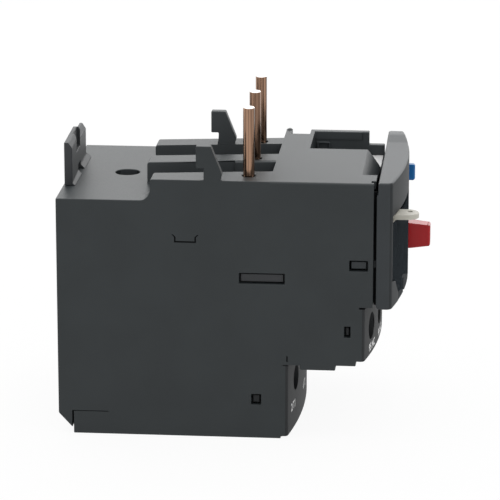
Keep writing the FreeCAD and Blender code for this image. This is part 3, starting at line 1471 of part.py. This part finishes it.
def all_parts():
    parts = {
        "housing": housing(),
        "foot_cover": foot_cover(),
        "power_terminal_block": power_block(),
        "power_clamp_cages": power_cages(),
        "power_terminal_screws": power_screws(),
        "auxiliary_terminal_block": aux_block(),
        "normally_closed_strips": group([contact_strip(place) for place in AUX_PLACES[:2]]),
        "normally_open_strips": group([contact_strip(place) for place in AUX_PLACES[2:]]),
        "auxiliary_washers": aux_washers(),
        "auxiliary_screws": aux_screws(),
        "top_cap": top_cap(),
        "rear_hook_plate": rear_plate(),
        "load_conductors": load_conductors(),
        "mechanism_frame": mechanism_frame(),
        "trip_slider": slider(SLIDER_BOTTOM, FINGER_GAP, 1),
        "return_slider": slider(SLIDER_BOTTOM + SLIDER_TALL, RETURN_GAP, -1),
        "lever_pivot_pin": lever_pin(),
        "trip_lever": trip_lever(),
        "contact_carrier": contact_carrier(),
        "closed_contact_bridge": closed_bridge(),
        "open_contact_bridge": open_bridge(),
        "control_deck": control_deck(),
        "front_bezel": bezel(),
        "cover_hinge_rod": hinge_rod(),
        "clear_cover": clear_cover(),
        "setting_dial": setting_dial(),
        "dial_cam": dial_cam(),
        "stop_button": stop_button(),
        "stop_spring": stop_spring(),
        "reset_knob": reset_knob(),
        "reset_plunger": reset_plunger(),
        "reset_spring": reset_spring(),
        "test_button": test_button(),
        "trip_flag": trip_flag(),
    }
    for number, pole in enumerate(POLES, 1):
        parts["plug_pin_%d" % number] = plug_pin(pole)
        parts["bimetal_strip_%d" % number] = bimetal(pole)
        parts["heater_winding_%d" % number] = heater(pole)
    return parts


os.makedirs("parts", exist_ok=True)
for name, shape in all_parts().items():
    shape.exportStep(os.path.join("parts", name + ".step"))
    box = shape.BoundBox
    print("%-26s %d solids  valid %s  %.1f mm3  x %.2f %.2f  y %.2f %.2f  z %.2f %.2f" % (
        name, len(shape.Solids), shape.isValid(), shape.Volume,
        box.XMin, box.XMax, box.YMin, box.YMax, box.ZMin, box.ZMax))
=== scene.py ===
import math
import bmesh
import bpy
from mathutils import Matrix, Vector
from mathutils.bvhtree import BVHTree


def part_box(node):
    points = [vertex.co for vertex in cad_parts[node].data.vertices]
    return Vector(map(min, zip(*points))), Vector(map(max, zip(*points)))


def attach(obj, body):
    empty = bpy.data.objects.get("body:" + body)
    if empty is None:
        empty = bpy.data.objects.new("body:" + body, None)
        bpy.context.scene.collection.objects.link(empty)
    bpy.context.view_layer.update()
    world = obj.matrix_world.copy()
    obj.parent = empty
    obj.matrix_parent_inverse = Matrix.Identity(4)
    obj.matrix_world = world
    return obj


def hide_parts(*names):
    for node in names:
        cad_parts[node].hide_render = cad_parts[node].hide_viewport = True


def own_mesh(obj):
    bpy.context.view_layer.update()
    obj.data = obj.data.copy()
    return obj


MM = 0.001
HALF_WIDTH = 22.5
HALF_DEPTH = 35.95
ACROSS = 0
DEPTH = 1
HEIGHT = 2

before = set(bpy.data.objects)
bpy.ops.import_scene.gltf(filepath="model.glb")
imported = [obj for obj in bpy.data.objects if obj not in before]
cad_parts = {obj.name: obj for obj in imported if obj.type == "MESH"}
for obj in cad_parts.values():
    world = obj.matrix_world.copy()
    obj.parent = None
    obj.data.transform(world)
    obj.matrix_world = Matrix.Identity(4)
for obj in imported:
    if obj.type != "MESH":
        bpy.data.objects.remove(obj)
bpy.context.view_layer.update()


def spot(across, depth, height):
    """Place in the row frame, in metres, from millimetres across, in depth and in height."""
    return Vector(((across - HALF_WIDTH) * MM, (HALF_DEPTH - depth) * MM, height * MM))


def place(point):
    """Millimetres across, in depth and in height of a point in the row frame."""
    return (point.x / MM + HALF_WIDTH, HALF_DEPTH - point.y / MM, point.z / MM)


# Materials. The heights of grain and lines are in metres.

TEXTURE_LOW = 0.35
TEXTURE_HIGH = 0.65
NOISE_DETAIL = 2.0
NOISE_ROUGH = 0.55
SHADE_SCALE = 90
GRAIN_SCALE = 7000
GRAIN_STRENGTH = 0.25
GRAIN_HEIGHT = 0.00003
PLASTIC_SHEEN = 0.04
LINE_SCALE = 2500
LINE_DETAIL = 3.0
LINE_ROUGH = 0.6
LINE_STRENGTH = 0.15
LINE_HEIGHT = 0.00002
METAL_SHEEN = 0.06
CLOUD_SCALE = 400
CLOUD_LIGHTER = 1.1
CLEAR_ALPHA = 0.8


def new_material(name):
    material = bpy.data.materials.new(name)
    material.use_nodes = True
    nodes = material.node_tree.nodes
    return material, nodes, material.node_tree.links, nodes["Principled BSDF"]


def noise(nodes, links, scale, detail=NOISE_DETAIL, rough=NOISE_ROUGH, stretch=None):
    """Noise in the object's own metres, stretched along an axis if asked."""
    texture = nodes.new("ShaderNodeTexNoise")
    texture.inputs["Scale"].default_value = scale
    texture.inputs["Detail"].default_value = detail
    texture.inputs["Roughness"].default_value = rough
    coordinates = nodes.new("ShaderNodeTexCoord")
    if stretch:
        mapping = nodes.new("ShaderNodeMapping")
        mapping.inputs["Scale"].default_value = stretch
        links.new(coordinates.outputs["Object"], mapping.inputs["Vector"])
        links.new(mapping.outputs["Vector"], texture.inputs["Vector"])
    else:
        links.new(coordinates.outputs["Object"], texture.inputs["Vector"])
    return texture


def spread(nodes, links, source, low, high):
    """Maps a texture's value onto a range."""
    span = nodes.new("ShaderNodeMapRange")
    span.inputs["From Min"].default_value = TEXTURE_LOW
    span.inputs["From Max"].default_value = TEXTURE_HIGH
    span.inputs["To Min"].default_value = low
    span.inputs["To Max"].default_value = high
    links.new(source, span.inputs["Value"])
    return span.outputs["Result"]


def tinted(nodes, links, source, dark, light):
    """Maps a texture's value onto a colour between two."""
    ramp = nodes.new("ShaderNodeValToRGB")
    ramp.color_ramp.elements[0].position = TEXTURE_LOW
    ramp.color_ramp.elements[0].color = (*dark, 1)
    ramp.color_ramp.elements[1].position = TEXTURE_HIGH
    ramp.color_ramp.elements[1].color = (*light, 1)
    links.new(source, ramp.inputs["Fac"])
    return ramp.outputs["Color"]


def bumped(nodes, links, shader, source, strength, distance):
    bump = nodes.new("ShaderNodeBump")
    bump.inputs["Strength"].default_value = strength
    bump.inputs["Distance"].default_value = distance
    links.new(source, bump.inputs["Height"])
    links.new(bump.outputs["Normal"], shader.inputs["Normal"])


def plastic(name, colour, rough, vary=0.06, specular=0.5):
    """Moulded plastic: fine spark grain with its own change of sheen, slow change of shade."""
    material, nodes, links, shader = new_material(name)
    slow = noise(nodes, links, SHADE_SCALE)
    dark = [c * (1 - vary) for c in colour]
    light = [c * (1 + vary) for c in colour]
    links.new(tinted(nodes, links, slow.outputs["Fac"], dark, light), shader.inputs["Base Color"])
    fine = noise(nodes, links, GRAIN_SCALE)
    links.new(
        spread(nodes, links, fine.outputs["Fac"], rough - PLASTIC_SHEEN, rough + PLASTIC_SHEEN),
        shader.inputs["Roughness"])
    shader.inputs["Specular IOR Level"].default_value = specular
    bumped(nodes, links, shader, fine.outputs["Fac"], GRAIN_STRENGTH, GRAIN_HEIGHT)
    return material


def metal(name, dark, light, rough, stretch, scale=LINE_SCALE):
    """Drawn or rolled metal with fine lines along one axis; on the pins the far-apart dark and
    light colours also paint streaks of reflection.
    """
    material, nodes, links, shader = new_material(name)
    lines = noise(nodes, links, scale, LINE_DETAIL, LINE_ROUGH, stretch)
    links.new(tinted(nodes, links, lines.outputs["Fac"], dark, light), shader.inputs["Base Color"])
    links.new(
        spread(nodes, links, lines.outputs["Fac"], rough - METAL_SHEEN, rough + METAL_SHEEN),
        shader.inputs["Roughness"])
    shader.inputs["Metallic"].default_value = 1.0
    bumped(nodes, links, shader, lines.outputs["Fac"], LINE_STRENGTH, LINE_HEIGHT)
    return material


def clear_plastic(name, colour, rough):
    """Smoked clear moulding, faintly seen through."""
    material, nodes, links, shader = new_material(name)
    slow = noise(nodes, links, CLOUD_SCALE)
    light = [c * CLOUD_LIGHTER for c in colour]
    links.new(
        tinted(nodes, links, slow.outputs["Fac"], colour, light), shader.inputs["Base Color"])
    links.new(
        spread(nodes, links, slow.outputs["Fac"], rough - 0.02, rough + 0.03),
        shader.inputs["Roughness"])
    shader.inputs["Specular IOR Level"].default_value = 0.0
    shader.inputs["Alpha"].default_value = CLEAR_ALPHA
    return material


HOUSING = plastic("housing_satin", (0.024, 0.029, 0.031), 0.46, specular=0.3)
BLOCK = plastic("block_satin", (0.027, 0.0285, 0.030), 0.62, specular=0.16)
BEZEL = plastic("bezel_satin", (0.0275, 0.0325, 0.036), 0.44, specular=0.3)
# Darker, matt copy of the bezel plastic for its curved front: painted shade, with less sheen
BEZEL_MATT_SHADED = plastic("bezel_matt_shaded", (0.026, 0.029, 0.031), 0.6, specular=0.16)
# Lighter copy of the housing plastic for walls in the channels and the well: painted bounce light
INNER_PAINTED_LIGHT = plastic("inner_painted_light", (0.056, 0.063, 0.067), 0.5, specular=0.3)
PLATE = plastic("plate_satin", (0.034, 0.037, 0.040), 0.5, specular=0.3)
DECK = plastic("deck_satin", (0.024, 0.028, 0.030), 0.5, specular=0.3)
FRAME = plastic("frame_satin", (0.034, 0.036, 0.039), 0.5, specular=0.3)
IVORY = plastic("slider_ivory", (0.62, 0.58, 0.47), 0.45)
DIAL = plastic("dial_grey", (0.5, 0.5, 0.48), 0.35)
RED = plastic("stop_red", (0.37, 0.004, 0.007), 0.22, specular=0.26)
BLUE = plastic("reset_blue", (0.001, 0.115, 0.33), 0.3, specular=0.25)
GREEN = plastic("flag_green", (0.05, 0.32, 0.08), 0.4)
# Pin copper: drawn lines, and, from the wide dark-to-light range, painted reflection streaks along
# the pins
COPPER = metal(
    "pin_copper_lines_and_painted_reflection", (0.05, 0.027, 0.018), (0.45, 0.275, 0.185), 0.18, (1, 1, 0.008), scale=1900)
PIN_END = metal("pin_end", (0.80, 0.74, 0.70), (0.95, 0.90, 0.87), 0.35, (1, 1, 1))
STRAP = metal("strap_copper", (0.62, 0.36, 0.25), (0.8, 0.52, 0.38), 0.3, (1, 0.1, 1))
BRASS = metal("contact_brass", (0.55, 0.42, 0.2), (0.72, 0.56, 0.3), 0.3, (1, 1, 0.1))
ZINC = metal("zinc_plate", (0.42, 0.42, 0.40), (0.62, 0.62, 0.6), 0.3, (1, 0.2, 1))
STEEL = metal("spring_steel", (0.4, 0.4, 0.41), (0.58, 0.58, 0.6), 0.28, (0.1, 1, 1))
BIMETAL = metal("bimetal_strip", (0.38, 0.38, 0.37), (0.52, 0.52, 0.5), 0.34, (1, 1, 0.05))
HEATER = metal("heater_ribbon", (0.28, 0.25, 0.22), (0.45, 0.41, 0.37), 0.4, (1, 0.2, 1))
CLEAR = clear_plastic("cover_smoked", (0.026, 0.031, 0.035), 0.22)
TAB = plastic("tab_beige", (0.455, 0.44, 0.385), 0.45)
SHELF = plastic("shelf_pale", (0.6, 0.6, 0.6), 0.45)
# Near-black plastic for painted shade in the fine side cuts and in the joint behind the bezel
SHADE = plastic("cut_shade", (0.006, 0.007, 0.008), 0.7, specular=0.1)
INK = plastic("number_ink", (0.8, 0.8, 0.8), 0.5, vary=0.03)
DARK_INK = plastic("dial_ink", (0.03, 0.03, 0.035), 0.5, vary=0.1)

# Pieces carried over from the solids, with rounded edges. Lengths are in millimetres.

MERGE = 0.002
FLAT = math.radians(0.6)
ON_PLANE = 0.03
SHARP = math.radians(32)
CREASE = math.radians(3)


def lies_on(verts, plane):
    axis, value = plane
    return all(abs(place(vert.co)[axis] - value) < ON_PLANE for vert in verts)


def shifted(work, axis, old, new):
    """Closes a joint gap: the points that lie on one plane go to another."""
    for vert in work.verts:
        where = list(place(vert.co))
        if abs(where[axis] - old) < ON_PLANE:
            where[axis] = new
            vert.co = spot(*where)


def dressed(node, body, material, slot, round_mm=0.15,
            seams=(), creases=(), moves=(), bend=None, rounds=(), zones=(), segments=2):
    """The CAD node with its own material and softly rounded edges, in place of the plain solid.

    Edges on a seam plane stay square, so that joined pieces read as one. Edges on a crease
    plane stay crisp. Moves close joint gaps, a bend moves single points, rounds give some edges
    another radius, and zones give some faces another material.
    """
    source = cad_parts[node].data
    mesh = bpy.data.meshes.new(node + "_dressed")
    mesh.from_pydata(
        [v.co[:] for v in source.vertices], [], [p.vertices[:] for p in source.polygons])
    work = bmesh.new()
    work.from_mesh(mesh)
    bmesh.ops.remove_doubles(work, verts=work.verts, dist=MERGE * MM)
    bmesh.ops.dissolve_limit(
        work, angle_limit=FLAT, use_dissolve_boundaries=False,
        verts=work.verts, edges=work.edges)
    bmesh.ops.recalc_face_normals(work, faces=work.faces)
    for axis, old, new in moves:
        shifted(work, axis, old, new)
    if bend:
        for vert in work.verts:
            vert.co = spot(*bend(*place(vert.co)))
    widest = max([round_mm] + [radius for test, radius in rounds])
    weight = work.edges.layers.float.new("bevel_weight_edge")
    for edge in work.edges:
        angle = edge.calc_face_angle(0)
        edge.smooth = angle < SHARP
        if angle > CREASE and any(lies_on(edge.verts, plane) for plane in creases):
            edge.smooth = False
        if edge.smooth or not widest or any(lies_on(edge.verts, plane) for plane in seams):
            continue
        radius = round_mm
        ends = [place(vert.co) for vert in edge.verts]
        for test, special in rounds:
            if test(*ends):
                radius = special
        edge[weight] = radius / widest
    for face in work.faces:
        face.smooth = True
        for index, (look, test) in enumerate(zones, 1):
            if test(place(face.calc_center_median()), face.normal):
                face.material_index = index
    work.to_mesh(mesh)
    work.free()
    mesh.materials.append(material)
    for look, test in zones:
        mesh.materials.append(look)
    piece = bpy.data.objects.new(node + "_look", mesh)
    bpy.context.scene.collection.objects.link(piece)
    if widest:
        bevel = piece.modifiers.new("round", "BEVEL")
        bevel.width = widest * MM
        bevel.segments = segments
        bevel.limit_method = "WEIGHT"
        bevel.use_clamp_overlap = False
        bevel.harden_normals = True
        bevel.miter_outer = "MITER_SHARP"
    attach(piece, body)
    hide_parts(node)
    return piece


LOOKS = [
    ("housing", "base", HOUSING, "housing_plastic", 0.2),
    ("foot_cover", "base", HOUSING, "housing_plastic", 0.12),
    ("power_terminal_block", "base", BLOCK, "housing_plastic", 0.15),
    ("power_clamp_cages", "base", ZINC, "zinc_plated_steel", 0.1),
    ("power_terminal_screws", "base", ZINC, "zinc_plated_steel", 0.08),
    ("auxiliary_terminal_block", "base", BLOCK, "housing_plastic", 0.15),
    ("normally_closed_strips", "base", BRASS, "contact_brass", 0.05),
    ("normally_open_strips", "base", BRASS, "contact_brass", 0.05),
    ("auxiliary_washers", "base", ZINC, "zinc_plated_steel", 0.05),
    ("auxiliary_screws", "base", ZINC, "zinc_plated_steel", 0.08),
    ("top_cap", "base", HOUSING, "housing_plastic", 0.15),
    ("rear_hook_plate", "base", PLATE, "housing_plastic", 0.15),
    ("load_conductors", "base", STRAP, "copper", 0.05),
    ("mechanism_frame", "base", FRAME, "frame_plastic", 0.08),
    ("lever_pivot_pin", "base", STEEL, "spring_steel", 0.05),
    ("control_deck", "base", DECK, "deck_plastic", 0.08),
    ("front_bezel", "base", BEZEL, "bezel_plastic", 0.18),
    ("cover_hinge_rod", "base", STEEL, "spring_steel", 0.05),
    ("stop_spring", "base", STEEL, "spring_steel", 0),
    ("reset_spring", "base", STEEL, "spring_steel", 0),
    ("clear_cover", "cover", CLEAR, "clear_plastic", 0.08),
    ("setting_dial", "dial", DIAL, "dial_plastic", 0.1),
    ("dial_cam", "dial", DIAL, "dial_plastic", 0.08),
    ("stop_button", "stop", RED, "red_plastic", 0.12),
    ("reset_plunger", "plunger", IVORY, "ivory_plastic", 0.05),
    ("reset_knob", "knob", BLUE, "blue_plastic", 0.2),
    ("test_button", "test", RED, "red_plastic", 0.1),
    ("trip_slider", "slider", IVORY, "ivory_plastic", 0.08),
    ("return_slider", "slider", IVORY, "ivory_plastic", 0.08),
    ("trip_lever", "lever", IVORY, "ivory_plastic", 0.08),
    ("contact_carrier", "carrier", IVORY, "ivory_plastic", 0.08),
    ("closed_contact_bridge", "carrier", BRASS, "contact_brass", 0.05),
    ("open_contact_bridge", "carrier", BRASS, "contact_brass", 0.05),
    ("trip_flag", "flag", GREEN, "flag_plastic", 0.08),
]
for number in (1, 2, 3):
    LOOKS.append(("plug_pin_%d" % number, "base", COPPER, "copper", 0.05))
    LOOKS.append(("bimetal_strip_%d" % number, "base", BIMETAL, "bimetal_steel", 0.05))
    LOOKS.append(("heater_winding_%d" % number, "base", HEATER, "heater_alloy", 0.05))

# Planes and corners of the solids, in millimetres across, in depth and in height

CAP_SEAT = 50.55
CAP_START = 41.8
POWER_LIP = 44.45
AUX_LIP = 59.4
FOOT_RISE = 0.45
LUG_FRONT = 9.65
LUG_TOP = 4.45
LUG_GAP = 0.3
LUG_SLACK = 0.15
NOTCH_TOP = 15.2
ROLL_START = 59.3
PAD_START = 34.3
PAD_FULL = 39.2
SHELF_LEVEL = 46.0
TAB_BOTTOM = 44.2
TAB_FAR = 8.5
PIN_TOP = 65.7
GAP = 0.05
SKIN = 0.02
SLIT_DEEP = 1.2
SLIT_REAR = 45.1
SLIT_FRONT = 45.6
SLIT_BOTTOM = 15.7
SLIT_TOP = 17.1
SCORE_DEEP = 0.6
SCORE_REAR = 22.5
SCORE_FRONT = 28.2
SCORE_BOTTOM = 39.4
SCORE_TOP = 41.4
BEZEL_BROW = 51.6
BROW_ROUND = 0.45
CAP_TOP = 52.15
ROLL_NEAR = 7.2
HOOK_HEEL = (30.2, 32.3, 52.2)
HEEL_REACH = 0.8
ROLL_FAR = 28.4
ROLL_DROP = 3.75
ROLL_RUN = 2.75
ROLL_EASE = 0.75
RIM = 2.2
BEZEL_FACE = 65.1
GAP_FRONT = 62.6
WALL_NEAR = 5.0
WALL_FAR = 43.0
WALL_BOTTOM = 46.8
FACING_NEAR = -0.7
FACING_UP = 0.5


def in_slit(*ends):
    """Corners of the fine slit in the near side."""
    return all(
        where[ACROSS] < SLIT_DEEP and SLIT_REAR < where[DEPTH] < SLIT_FRONT
        and SLIT_BOTTOM < where[HEIGHT] < SLIT_TOP for where in ends)


def in_score(*ends):
    """Corners of the fine score line in the near side."""
    return all(
        where[ACROSS] < SCORE_DEEP and SCORE_REAR < where[DEPTH] < SCORE_FRONT
        and SCORE_BOTTOM < where[HEIGHT] < SCORE_TOP for where in ends)


def cut_floor(where, facing):
    """Floor and walls of the two fine cuts in the near side, below the skin, darkened: painted
    shade.
    """
    return where[ACROSS] > SKIN and (in_slit(where) or in_score(where))


def touches(corner, reach):
    """Test for edges that end near a corner, where soft edges of three kinds would meet."""
    def test(*ends):
        return any(math.dist(where, corner) < reach for where in ends)
    return test


def beside_roll(*ends):
    """Edges at the near end of the roll."""
    return all(
        abs(where[ACROSS] - ROLL_NEAR) < ON_PLANE and where[DEPTH] > ROLL_START - SKIN
        for where in ends)


def flatter_roll(across, depth, height):
    """Draws the roll at the front of the cap most of the way in to its chord."""
    on_roll = (
        ROLL_NEAR - SKIN < across < ROLL_FAR + SKIN and depth > ROLL_START + SKIN
        and CAP_TOP - ROLL_DROP < height < CAP_TOP - SKIN)
    if on_roll:
        chord = ROLL_START + ROLL_RUN * (CAP_TOP - height) / ROLL_DROP
        depth += (chord - depth) * ROLL_EASE
    return across, depth, height


def gap_wall(where, facing):
    """Bottom of the joint between the bezel's rim and the housing, darkened: painted shadow."""
    return abs(where[ACROSS] - RIM) < ON_PLANE and where[DEPTH] < GAP_FRONT


def inner_wall(where, facing):
    """Walls of the channels and of the well, open to the top, lighter than the housing: painted
    bounce light.
    """
    return facing.x < FACING_NEAR and (
        where[ACROSS] > WALL_FAR
        or where[ACROSS] > WALL_NEAR and where[HEIGHT] > WALL_BOTTOM)


def near_face(where, facing):
    """Outer face on the side that the photograph shows."""
    return where[ACROSS] < SKIN


def bezel_front(where, facing):
    """Curved front of the bezel, without its top: a matt finish, and a darker colour as painted
    shade.
    """
    return where[DEPTH] > BEZEL_FACE and facing.z < FACING_UP


def shelf(where, facing):
    return where[HEIGHT] > SHELF_LEVEL


def tab(where, facing):
    return where[HEIGHT] > TAB_BOTTOM and where[ACROSS] < TAB_FAR


def pin_end(where, facing):
    return where[HEIGHT] > PIN_TOP


def bezel_brow(one, other):
    """Top edges of the bezel."""
    return min(one[HEIGHT], other[HEIGHT]) > BEZEL_BROW


EXTRA = {
    "housing": {
        "seams": [
            (HEIGHT, CAP_SEAT), (DEPTH, CAP_START), (DEPTH, POWER_LIP), (DEPTH, AUX_LIP),
            (HEIGHT, FOOT_RISE), (DEPTH, LUG_FRONT + LUG_GAP), (HEIGHT, LUG_TOP + LUG_GAP),
            (HEIGHT, NOTCH_TOP)],
        "rounds": [(in_slit, 0.0), (in_score, 0.0), (touches(HOOK_HEEL, HEEL_REACH), 0.0)],
        "zones": [(SHADE, cut_floor), (INNER_PAINTED_LIGHT, inner_wall)]},
    "top_cap": {
        "seams": [
            (HEIGHT, CAP_SEAT + GAP), (HEIGHT, CAP_SEAT),
            (DEPTH, CAP_START + GAP), (DEPTH, CAP_START)],
        "creases": [(DEPTH, ROLL_START)],
        "rounds": [(beside_roll, 0.0)],
        "zones": [(INNER_PAINTED_LIGHT, inner_wall)],
        "bend": flatter_roll},
    "foot_cover": {
        "seams": [
            (HEIGHT, LUG_TOP), (HEIGHT, LUG_TOP + LUG_SLACK), (DEPTH, LUG_FRONT + LUG_GAP),
            (HEIGHT, FOOT_RISE)],
        "moves": [
            (DEPTH, LUG_FRONT, LUG_FRONT + LUG_GAP), (HEIGHT, LUG_TOP, LUG_TOP + LUG_SLACK)]},
    "power_terminal_block": {
        "seams": [(DEPTH, POWER_LIP), (DEPTH, POWER_LIP + GAP)],
        "zones": [(HOUSING, near_face)]},
    "auxiliary_terminal_block": {
        "seams": [(DEPTH, AUX_LIP), (DEPTH, AUX_LIP + GAP)],
        "zones": [(HOUSING, near_face)]},
    "front_bezel": {
        "creases": [(ACROSS, PAD_FULL), (ACROSS, PAD_START)],
        "rounds": [(bezel_brow, BROW_ROUND)],
        "zones": [(SHADE, gap_wall), (BEZEL_MATT_SHADED, bezel_front)],
        "segments": 3},
    "control_deck": {"zones": [(SHELF, shelf)]},
    "clear_cover": {"zones": [(TAB, tab)]},
}
for number in (1, 2, 3):
    EXTRA["plug_pin_%d" % number] = {"zones": [(PIN_END, pin_end)]}

pieces = {}
for node, body, material, slot, round_mm in LOOKS:
    pieces[node] = dressed(node, body, material, slot, round_mm, **EXTRA.get(node, {}))

# Each key's spring gets a mesh of its own

SPRINGS = [("stop_spring", "stop_push", 1.4), ("reset_spring", "reset_push", 1.5)]
for node, joint, travel in SPRINGS:
    low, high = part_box(node)
    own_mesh(pieces[node])

# Printed numbers

INK_PROUD = 0.03
TYPE_SIZE = 1.4
TYPE_WEIGHT = 0.06
TYPE_STEPS = 4


def printed(name, words, body, centre, tall, node, turn=0.0, ink=INK):
    """Flat figures laid on the front face of a solid, along its curve."""
    curve = bpy.data.curves.new(name, "FONT")
    curve.body = words
    curve.size = tall * TYPE_SIZE
    curve.offset = TYPE_WEIGHT
    curve.align_x = "CENTER"
    curve.align_y = "CENTER"
    curve.resolution_u = TYPE_STEPS
    holder = bpy.data.objects.new(name + "_text", curve)
    mesh = bpy.data.meshes.new_from_object(holder)
    bpy.data.objects.remove(holder)
    work = bmesh.new()
    work.from_mesh(mesh)
    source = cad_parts[node].data
    tree = BVHTree.FromPolygons(
        [v.co[:] for v in source.vertices], [p.vertices[:] for p in source.polygons])
    across, height = centre
    for vert in work.verts:
        right = vert.co.x * math.cos(turn) + vert.co.y * math.sin(turn)
        rise = vert.co.y * math.cos(turn) - vert.co.x * math.sin(turn)
        start = spot(across + right, 2 * HALF_DEPTH, height + rise)
        hit = tree.ray_cast(start, Vector((0, 1, 0)))[0]
        vert.co = Vector((start.x, hit.y - INK_PROUD * MM, start.z))
    work.to_mesh(mesh)
    work.free()
    mesh.materials.clear()
    mesh.materials.append(ink)
    piece = bpy.data.objects.new(name, mesh)
    bpy.context.scene.collection.objects.link(piece)
    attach(piece, body)


ROWS = [
    ("power", ("2/T1", "4/T2", "6/T3"), 14.3, -3.0, 5.25, 1.6),
    ("auxiliary", ("95 NC", "96 NC", "97 NO", "98 NO"), 10.6, 0.4, 17.7, 1.5),
]
for row, marks, pitch, aside, level, tall in ROWS:
    for index, words in enumerate(marks):
        across = HALF_WIDTH + (index - (len(marks) - 1) / 2) * pitch
        printed("%s_number_%d" % (row, index + 1), words, "base",
                (across + aside, level), tall, "%s_terminal_block" % row)

DIAL_NUMBERS = 7
DIAL_STEP = math.radians(38)
DIAL_TALL = 1.1
NUMBER_RING = 0.78
low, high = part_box("setting_dial")
dial_low = place(Vector(low))
dial_high = place(Vector(high))
dial_across = (dial_low[ACROSS] + dial_high[ACROSS]) / 2
dial_height = (dial_low[HEIGHT] + dial_high[HEIGHT]) / 2
ring = NUMBER_RING * (dial_high[ACROSS] - dial_low[ACROSS]) / 2
for index in range(DIAL_NUMBERS):
    turn = (index - (DIAL_NUMBERS - 1) / 2) * DIAL_STEP
    printed("dial_number_%d" % (index + 1), str(index + 1), "dial",
            (dial_across + ring * math.sin(turn), dial_height + ring * math.cos(turn)),
            DIAL_TALL, "setting_dial", turn, DARK_INK)

# Stage, light and camera

FLOOR_REACH = 3.0
FLOOR_GREY = (0.82, 0.82, 0.82, 1)
FLOOR_GLOW = 0.93
WHITE = (1, 1, 1, 1)
SOFT_LIGHT = 0.62
AIM = (0, 0, 0.03)
LAMPS = [
    ("top_box", (0.1, 0.0, 0.7), (0.9, 0.9), 4.0),
    ("far_box", (0.75, -0.1, 0.35), (0.9, 0.6), 2.0),
    ("near_box", (-0.7, -0.3, 0.5), (0.5, 0.5), 0.5),
]
LENS = 235.417
SENSOR = 36.0
CLIP_NEAR = 0.01
CLIP_FAR = 20.0
CAMERA_TURN = math.radians(5.0218)
CAMERA_TILT = math.radians(15.3652)
CAMERA_PLACE = (-0.632974, -0.055744, 0.206832)


def seen_directly(nodes, links):
    """1 for camera, glossy and transmission rays, which show the white studio."""
    path = nodes.new("ShaderNodeLightPath")
    either = nodes.new("ShaderNodeMath")
    either.operation = "MAXIMUM"
    links.new(path.outputs["Is Camera Ray"], either.inputs[0])
    links.new(path.outputs["Is Glossy Ray"], either.inputs[1])
    seen = nodes.new("ShaderNodeMath")
    seen.operation = "MAXIMUM"
    links.new(either.outputs["Value"], seen.inputs[0])
    links.new(path.outputs["Is Transmission Ray"], seen.inputs[1])
    return seen.outputs["Value"]


def stage_floor():
    """Plain white floor that keeps the object's shadow."""
    mesh = bpy.data.meshes.new("floor")
    reach = FLOOR_REACH
    mesh.from_pydata(
        [(-reach, -reach, 0), (reach, -reach, 0), (reach, reach, 0), (-reach, reach, 0)],
        [], [(0, 1, 2, 3)])
    floor = bpy.data.objects.new("floor", mesh)
    bpy.context.scene.collection.objects.link(floor)
    material, nodes, links, shader = new_material("floor_white")
    shader.inputs["Base Color"].default_value = FLOOR_GREY
    shader.inputs["Roughness"].default_value = 0.9
    shader.inputs["Specular IOR Level"].default_value = 0.1
    glow = nodes.new("ShaderNodeEmission")
    glow.inputs["Strength"].default_value = 1.0
    mix = nodes.new("ShaderNodeMixShader")
    share = nodes.new("ShaderNodeMath")
    share.operation = "MULTIPLY"
    share.inputs[1].default_value = FLOOR_GLOW
    links.new(seen_directly(nodes, links), share.inputs[0])
    links.new(share.outputs["Value"], mix.inputs["Fac"])
    links.new(shader.outputs["BSDF"], mix.inputs[1])
    links.new(glow.outputs["Emission"], mix.inputs[2])
    links.new(mix.outputs["Shader"], nodes["Material Output"].inputs["Surface"])
    mesh.materials.append(material)


def lamp(name, position, size, power):
    """Soft box that looks at the object."""
    light = bpy.data.lights.new(name, "AREA")
    light.shape = "RECTANGLE"
    light.size, light.size_y = size
    light.energy = power
    lit = bpy.data.objects.new(name, light)
    lit.location = position
    direction = Vector(AIM) - Vector(position)
    lit.rotation_euler = direction.to_track_quat("-Z", "Y").to_euler()
    bpy.context.scene.collection.objects.link(lit)


def world_light():
    """Even light from all round, seen as plain white."""
    world = bpy.data.worlds.new("studio")
    bpy.context.scene.world = world
    world.use_nodes = True
    nodes = world.node_tree.nodes
    links = world.node_tree.links
    nodes.clear()
    white = nodes.new("ShaderNodeBackground")
    white.inputs["Color"].default_value = WHITE
    white.inputs["Strength"].default_value = 1.0
    soft = nodes.new("ShaderNodeBackground")
    soft.inputs["Color"].default_value = WHITE
    soft.inputs["Strength"].default_value = SOFT_LIGHT
    mix = nodes.new("ShaderNodeMixShader")
    links.new(seen_directly(nodes, links), mix.inputs["Fac"])
    links.new(soft.outputs["Background"], mix.inputs[1])
    links.new(white.outputs["Background"], mix.inputs[2])
    out = nodes.new("ShaderNodeOutputWorld")
    links.new(mix.outputs["Shader"], out.inputs["Surface"])


def camera():
    """Camera at the photograph's viewing angle, fitted to corners of the body."""
    data = bpy.data.cameras.new("photo_camera")
    data.lens = LENS
    data.sensor_width = SENSOR
    data.clip_start = CLIP_NEAR
    data.clip_end = CLIP_FAR
    turn = CAMERA_TURN
    tilt = CAMERA_TILT
    ahead = Vector((
        math.cos(turn) * math.cos(tilt), math.sin(turn) * math.cos(tilt), -math.sin(tilt)))
    right = Vector((math.sin(turn), -math.cos(turn), 0))
    up = Vector((
        math.cos(turn) * math.sin(tilt), math.sin(turn) * math.sin(tilt), math.cos(tilt)))
    view = bpy.data.objects.new("photo_camera", data)
    view.matrix_world = Matrix((
        (right.x, up.x, -ahead.x, CAMERA_PLACE[0]),
        (right.y, up.y, -ahead.y, CAMERA_PLACE[1]),
        (right.z, up.z, -ahead.z, CAMERA_PLACE[2]),
        (0, 0, 0, 1)))
    bpy.context.scene.collection.objects.link(view)
    bpy.context.scene.camera = view


stage_floor()
world_light()
for name, position, size, power in LAMPS:
    lamp(name, position, size, power)
camera()
bpy.context.scene.view_settings.view_transform = "Standard"
